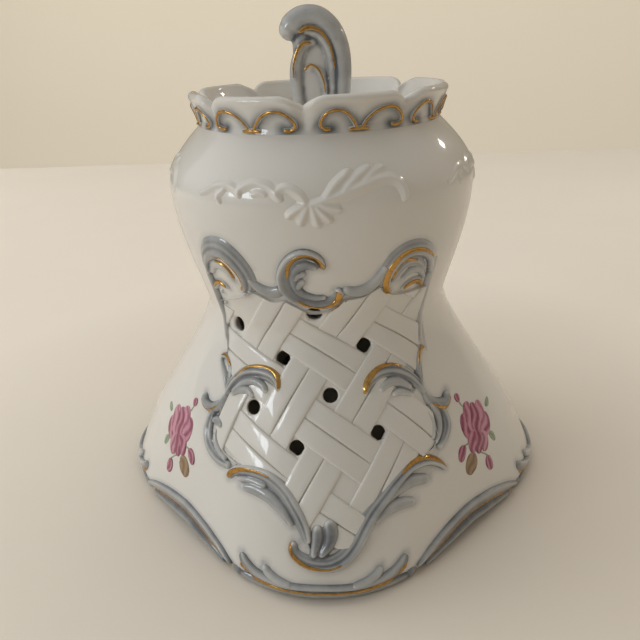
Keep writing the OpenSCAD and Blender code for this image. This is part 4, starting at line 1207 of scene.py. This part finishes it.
# painted sprays: petals, buds and leaves as [across, up, half width] from the middle of the spray, and their tint
spray = {
    "blossom": [
        ([[-1.4, -3, 1.6], [-4.6, -0.6, 2.9], [-6.2, 3.4, 2.6], [-5.8, 6.6, 1.4]], 0.5),
        ([[1.4, -3, 1.6], [4.4, -1.4, 2.9], [6.2, 2.2, 2.7], [6.2, 5.4, 1.5]], 0.55),
        ([[-0.8, -2, 1.8], [-3.2, 3.2, 3.0], [-3.6, 7.6, 2.6], [-3, 10.8, 1.4]], 0.3),
        ([[0.8, -2, 1.8], [2.8, 2.8, 3.0], [3.8, 6.8, 2.7], [3.6, 10, 1.5]], 0.4),
        ([[0, -2.5, 1.8], [0, 2.8, 2.9], [0.3, 7, 2.4], [0.4, 9.8, 1.3]], 0.65),
        ([[-1.2, -1, 1.8], [-3.4, -3.6, 2.8], [-4.2, -6.6, 2.2], [-3.8, -8.8, 1.1]], 0.4),
        ([[1, -1, 1.8], [2.6, -4, 2.8], [2.6, -7.2, 2.2], [1.8, -9.2, 1.1]], 0.55),
        ([[-0.2, -0.5, 1.6], [-0.8, -4, 2.4], [-0.8, -7.4, 2.0], [-0.8, -9.6, 1.0]], 0.75)],
    "buds": [([[7.2, -6.4, 0.9], [8.4, -8.6, 1.9], [8.8, -11, 1.7], [8.6, -12.6, 0.8]], 0.7),
             ([[-6.2, -10.4, 0.9], [-7, -12.6, 1.9], [-8.2, -14.6, 1.8], [-9.4, -16, 0.8]], 0.65),
             ([[8.6, 9.4, 0.7], [9.4, 11, 1.4], [9.4, 12.6, 0.9]], 0.6)],
    "stems": [([[1.4, -8.6, 0.35], [3.8, -5.4, 0.3], [7.2, -6.6, 0.3]], 0.5),
              ([[0.4, -8.6, 0.35], [-2.6, -9.2, 0.3], [-6.2, -10.4, 0.3]], 0.5),
              ([[4.6, 7, 0.28], [6.8, 8, 0.28], [8.6, 9.6, 0.28]], 0.5)],
    "brown": [([[1.2, -9.4, 1.8], [2.4, -12, 3.2], [3, -15, 3.1], [2.6, -17.6, 1.6]], 0.5)],
    "green": [([[-7.2, -1.6, 0.8], [-9, -2.8, 1.5], [-10.8, -5, 0.7]], 0.5),
              ([[-8, 8.4, 0.6], [-9.6, 9.8, 1.2], [-11, 12, 0.5]], 0.5)],
    # each kind's enamel, spacing and streaks, in the order they are painted
    "kinds": [("stems", 2, 0.8, 0.3), ("brown", 1, 0.8, 0.3), ("green", 2, 0.8, 0.3), ("blossom", 0, 0.7, 0.35),
              ("buds", 0, 0.7, 0.35)],
    "places": [[-56.5, 37.6], [57, 38.6]], "lean": 27, "scale": 1.16, "squash": 0.9, "lift": 0.07, "liftStep": 0.02,
    "embed": 0.4, "blunt": 0.3}


def makeSpray(name, angle, height, mirror):
    bm = newClay()
    r = bodyRadius(angle, height)
    c, d = cos(radians(spray["lean"])), sin(radians(spray["lean"]))
    k = spray["scale"]
    lift = spray["lift"]
    for kind, enamel, spacing, streaks in spray["kinds"]:
        for points, shade in spray[kind]:
            # the spray leans away from the panel
            laid = [[angle + mirror * degrees((x * c - y * d) * k / r),
                     height + (x * d + y * c) * spray["squash"] * k, w * k] for x, y, w in points]
            lift += spray["liftStep"]
            layStroke(bm, laid, profile="flat", height=lift, shade=shade, spacing=spacing, embed=spray["embed"],
                      streaks=streaks, material=enamel, blunt=spray["blunt"])
    finishPiece(bm, name, "bell", enamels, [])


for panel, turn in panels:
    for (a, z), side, mirror in zip(spray["places"], ("Left", "Right"), (1, -1)):
        makeSpray(panel + side + "Spray", a + turn, z, mirror)
print("sprays painted")

hung = {"pivot": 156.892, "ringRadius": 7, "wire": 0.9, "wireSides": 20, "eyeTop": 144.992, "eyeRadius": 3.5,
        "stem": 1.2, "length": 123, "ball": 11, "bore": 0.05, "cap": 3, "capHeight": 2.4, "edge": 0.3, "seat": 1.6,
        "chamfer": 0.2, "seatLip": 0.3, "seatRise": 0.5, "neck": 0.6, "neckShare": 0.8, "intoEye": 0.1}


def spunPiece(name, line, place, body, material, node, closed=False, steps=64, sharp=40):
    bm = newClay()
    spinLine(bm, line, steps, closed)
    bm.transform(place)
    finishPiece(bm, name, body, [material], [node], sharp=sharp)


def wireLine(radius):
    turns = [2 * pi * k / hung["wireSides"] for k in range(hung["wireSides"])]
    return [(radius + hung["wire"] * cos(t), hung["wire"] * sin(t)) for t in turns]


def makeClapper():
    h = hung
    s, c, edge, seat = h["stem"], h["cap"], h["edge"], h["seat"]
    ballHeight = h["pivot"] - h["length"]
    spunPiece("hangerRing", wireLine(h["ringRadius"]),
              Matrix.Translation((0, 0, h["pivot"] - h["ringRadius"])) @ Matrix.Rotation(pi / 2, 4, "Y"), "ring",
              brass, "hanger_ring", closed=True, steps=96, sharp=60)
    # ball with a bore for the stem
    bore = s + h["bore"]
    rise = sqrt(h["ball"] ** 2 - bore ** 2)
    arc = [(h["ball"] * cos(t), h["ball"] * sin(t)) for t in [radians(k) for k in range(-82, 83, 4)]]
    spunPiece("clapperBall", [(bore, -rise)] + arc + [(bore, rise)], Matrix.Translation((0, 0, ballHeight)),
              "clapper", glaze, "clapper_ball", closed=True, steps=72, sharp=60)
    foot = ballHeight - h["ball"] - h["capHeight"]
    capLine = [(bore, 0), (c - edge, 0), (c, edge), (c, h["capHeight"] - edge), (c - edge, h["capHeight"]),
               (bore, h["capHeight"])]
    spunPiece("clapperCap", capLine, Matrix.Translation((0, 0, foot)), "clapper", brass, "clapper_cap",
              closed=True)
    # stem: eye, rod and the seat that rests on the ball, in one piece
    eyeMiddle = h["eyeTop"] - h["eyeRadius"]
    top = eyeMiddle - h["eyeRadius"]
    low = ballHeight + h["ball"]
    bm = newClay()
    spinLine(bm, [(0, foot), (s - h["chamfer"], foot), (s, foot + h["chamfer"]), (s, low), (c - edge, low),
                  (c, low + edge), (c, low + seat - edge), (c - edge, low + seat), (s + h["seatLip"], low + seat),
                  (s, low + seat + h["seatRise"]), (s, top - h["neck"]), (s * h["neckShare"], top),
                  (0, top + h["intoEye"])], 40)
    eye = bmesh.new()
    spinLine(eye, wireLine(h["eyeRadius"]), 72, closed=True)
    joinIn(bm, eye, Matrix.Translation((0, 0, eyeMiddle)) @ Matrix.Rotation(pi / 2, 4, "X"))
    finishPiece(bm, "clapperStem", "clapper", [brass], ["clapper_stem"], sharp=40)


makeClapper()
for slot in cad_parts["clapper_lug"].material_slots:
    slot.material = glaze
print("clapper hung")

# floor, wall and the light of the room; air runs from below to above and sides from -X to +X
stage = {"cloth": (0.84, 0.77, 0.67), "clothGlow": 0.13, "clothRoughness": 0.9, "wall": (0.84, 0.75, 0.60),
         "wallGlow": 0.42, "wallRoughness": 0.95, "tableWide": 4, "tableNear": 2, "tableEnd": 0.85, "wallSize": (6, 3),
         "wallBehind": 0.9, "wallMiddle": 0.6, "lampAim": (0, 0, 0.1), "glowStart": 0.1, "glowRise": 6.0, "dull": 0.95,
         "air": [(0.0, (0.30, 0.28, 0.25)), (0.42, (0.34, 0.32, 0.29)), (0.58, (0.80, 0.77, 0.72)),
                 (1.0, (1.0, 0.99, 0.97))],
         "sides": [(0.0, (1.0, 1.0, 1.0)), (0.22, (0.78, 0.78, 0.78)), (0.5, (0.40, 0.39, 0.37)),
                   (0.8, (0.50, 0.45, 0.38)), (1.0, (0.68, 0.60, 0.50))],
         "airStrength": 0.62, "seenStrength": 0.95, "glossShare": 0.12, "white": (1.0, 0.98, 0.94)}


def makeStage(name, colour, glow, size, place, tilt, roughness):
    bm = bmesh.new()
    bmesh.ops.create_grid(bm, x_segments=8, y_segments=8, size=1)
    bmesh.ops.scale(bm, vec=(size[0] / 2, size[1] / 2, 1), verts=bm.verts[:])
    bmesh.ops.rotate(bm, verts=bm.verts[:], cent=(0, 0, 0), matrix=Matrix.Rotation(radians(tilt), 3, "X"))
    bmesh.ops.translate(bm, verts=bm.verts[:], vec=place)
    sheet = newObject(bm, name)
    n = Finish(name + "Finish")
    duller = tuple(stage["dull"] * c for c in colour)
    # only the camera sees the glow, and it starts outside the bell
    seen = n.add("ShaderNodeLightPath").outputs["Is Camera Ray"]
    spot = n.add("ShaderNodeTexCoord").outputs["Object"]
    away = n.add("ShaderNodeVectorMath", operation="LENGTH", Vector=spot).outputs["Value"]
    far = n.maths("MULTIPLY", n.maths("SUBTRACT", away, stage["glowStart"]), stage["glowRise"], clamp=True)
    n.shade(Base_Color=n.mix(n.objectNoise(7, 3), colour, duller), Roughness=roughness, Emission_Color=colour,
            Emission_Strength=n.maths("MULTIPLY", n.maths("MULTIPLY", seen, far), glow))
    n.bump(n.objectNoise(60, 4), 0.15, 0.002)
    sheet.data.materials.append(n.material)


def makeWorld():
    world = bpy.data.worlds.new("paleRoom")
    scene.world = world
    world.use_nodes = True
    n = Nodes(world.node_tree)
    split = n.add("ShaderNodeSeparateXYZ", Vector=n.add("ShaderNodeTexCoord").outputs["Generated"])
    ramps = []
    for way, stops in (("Z", stage["air"]), ("X", stage["sides"])):
        level = n.add("ShaderNodeMapRange", Value=split.outputs[way], From_Min=-1)
        ramps.append(n.ramp(level.outputs["Result"], stops))
    # the camera sees a pale room, and reflections a little of it
    rays = n.add("ShaderNodeLightPath").outputs
    gloss = n.maths("MULTIPLY", rays["Is Glossy Ray"], stage["glossShare"])
    seen = n.maths("MAXIMUM", rays["Is Camera Ray"], gloss)
    strength = n.add("ShaderNodeMapRange", Value=seen, To_Min=stage["airStrength"], To_Max=stage["seenStrength"])
    n.fill(n.tree.nodes["Background"], Strength=strength.outputs["Result"],
           Color=n.mix(seen, n.mix(1, *ramps, "MULTIPLY"), stage["white"]))


# spot, size, power, colour, and whether the glaze mirrors it: two window panes, a ceiling lamp and soft daylight
lamps = {"windowLeft": ((-0.80, -0.45, 0.40), (0.15, 0.20), 0.7, (0.86, 0.94, 1.0), True),
         "windowRight": ((-0.70, -0.59, 0.41), (0.15, 0.20), 0.7, (0.86, 0.94, 1.0), True),
         "ceiling": ((0.65, 0.53, 0.53), (0.06, 0.05), 0.16, (1.0, 0.93, 0.82), True),
         "left": ((-1.5, 0.4, 0.8), (1.2, 1.2), 9, (1.0, 0.99, 0.97), False),
         "right": ((1.5, 0.6, 0.8), (1.2, 1.2), 2.6, (1.0, 0.92, 0.82), False),
         "above": ((0.0, 0.5, 1.5), (1.4, 1.2), 5.5, (1.0, 0.98, 0.95), False)}


def makeLamps():
    for name, (spot, size, power, colour, mirrors) in lamps.items():
        data = bpy.data.lights.new(name, "AREA")
        data.shape = "RECTANGLE"
        data.size, data.size_y = size
        data.energy = power
        data.color = colour
        light = bpy.data.objects.new(name, data)
        light.location = spot
        light.rotation_euler = (Vector(stage["lampAim"]) - light.location).to_track_quat("-Z", "Y").to_euler()
        light.visible_glossy = mirrors
        scene.collection.objects.link(light)


view = {"lens": 33.75, "sensor": 36, "nearest": 0.01, "shift": -0.00234, "distance": 0.2624, "height": 0.1934,
        "pitch": 24.88, "roll": -2.55, "yaw": -0.60, "turn": 3.5}


def makeCamera():
    data = bpy.data.cameras.new("camera")
    data.lens = view["lens"]
    data.sensor_width = view["sensor"]
    data.shift_x = view["shift"]
    data.clip_start = view["nearest"]
    pitch, roll, yaw, turn = (radians(view[k]) for k in ("pitch", "roll", "yaw", "turn"))
    ahead = Vector((sin(yaw) * cos(pitch), cos(yaw) * cos(pitch), -sin(pitch)))
    right = Vector((cos(yaw), -sin(yaw), 0))
    up = right.cross(ahead)
    tilted = cos(roll) * right + sin(roll) * up
    upright = -sin(roll) * right + cos(roll) * up
    pose = Matrix.Identity(4)
    for k in range(3):
        pose[k][0], pose[k][1], pose[k][2] = tilted[k], upright[k], -ahead[k]
    pose[1][3], pose[2][3] = -view["distance"], view["height"]
    camera = bpy.data.objects.new("camera", data)
    scene.collection.objects.link(camera)
    camera.matrix_world = Matrix.Rotation(turn, 4, "Z") @ pose
    scene.camera = camera


end, near = stage["tableEnd"], stage["tableNear"]
makeStage("tableTop", stage["cloth"], stage["clothGlow"], (stage["tableWide"], end + near), (0, (end - near) / 2, 0),
          0, stage["clothRoughness"])
makeStage("backWall", stage["wall"], stage["wallGlow"], stage["wallSize"],
          (0, end + stage["wallBehind"], stage["wallMiddle"]), 90, stage["wallRoughness"])
makeWorld()
makeLamps()
makeCamera()
scene.view_settings.view_transform = "Standard"
print("floor, lights and camera placed")
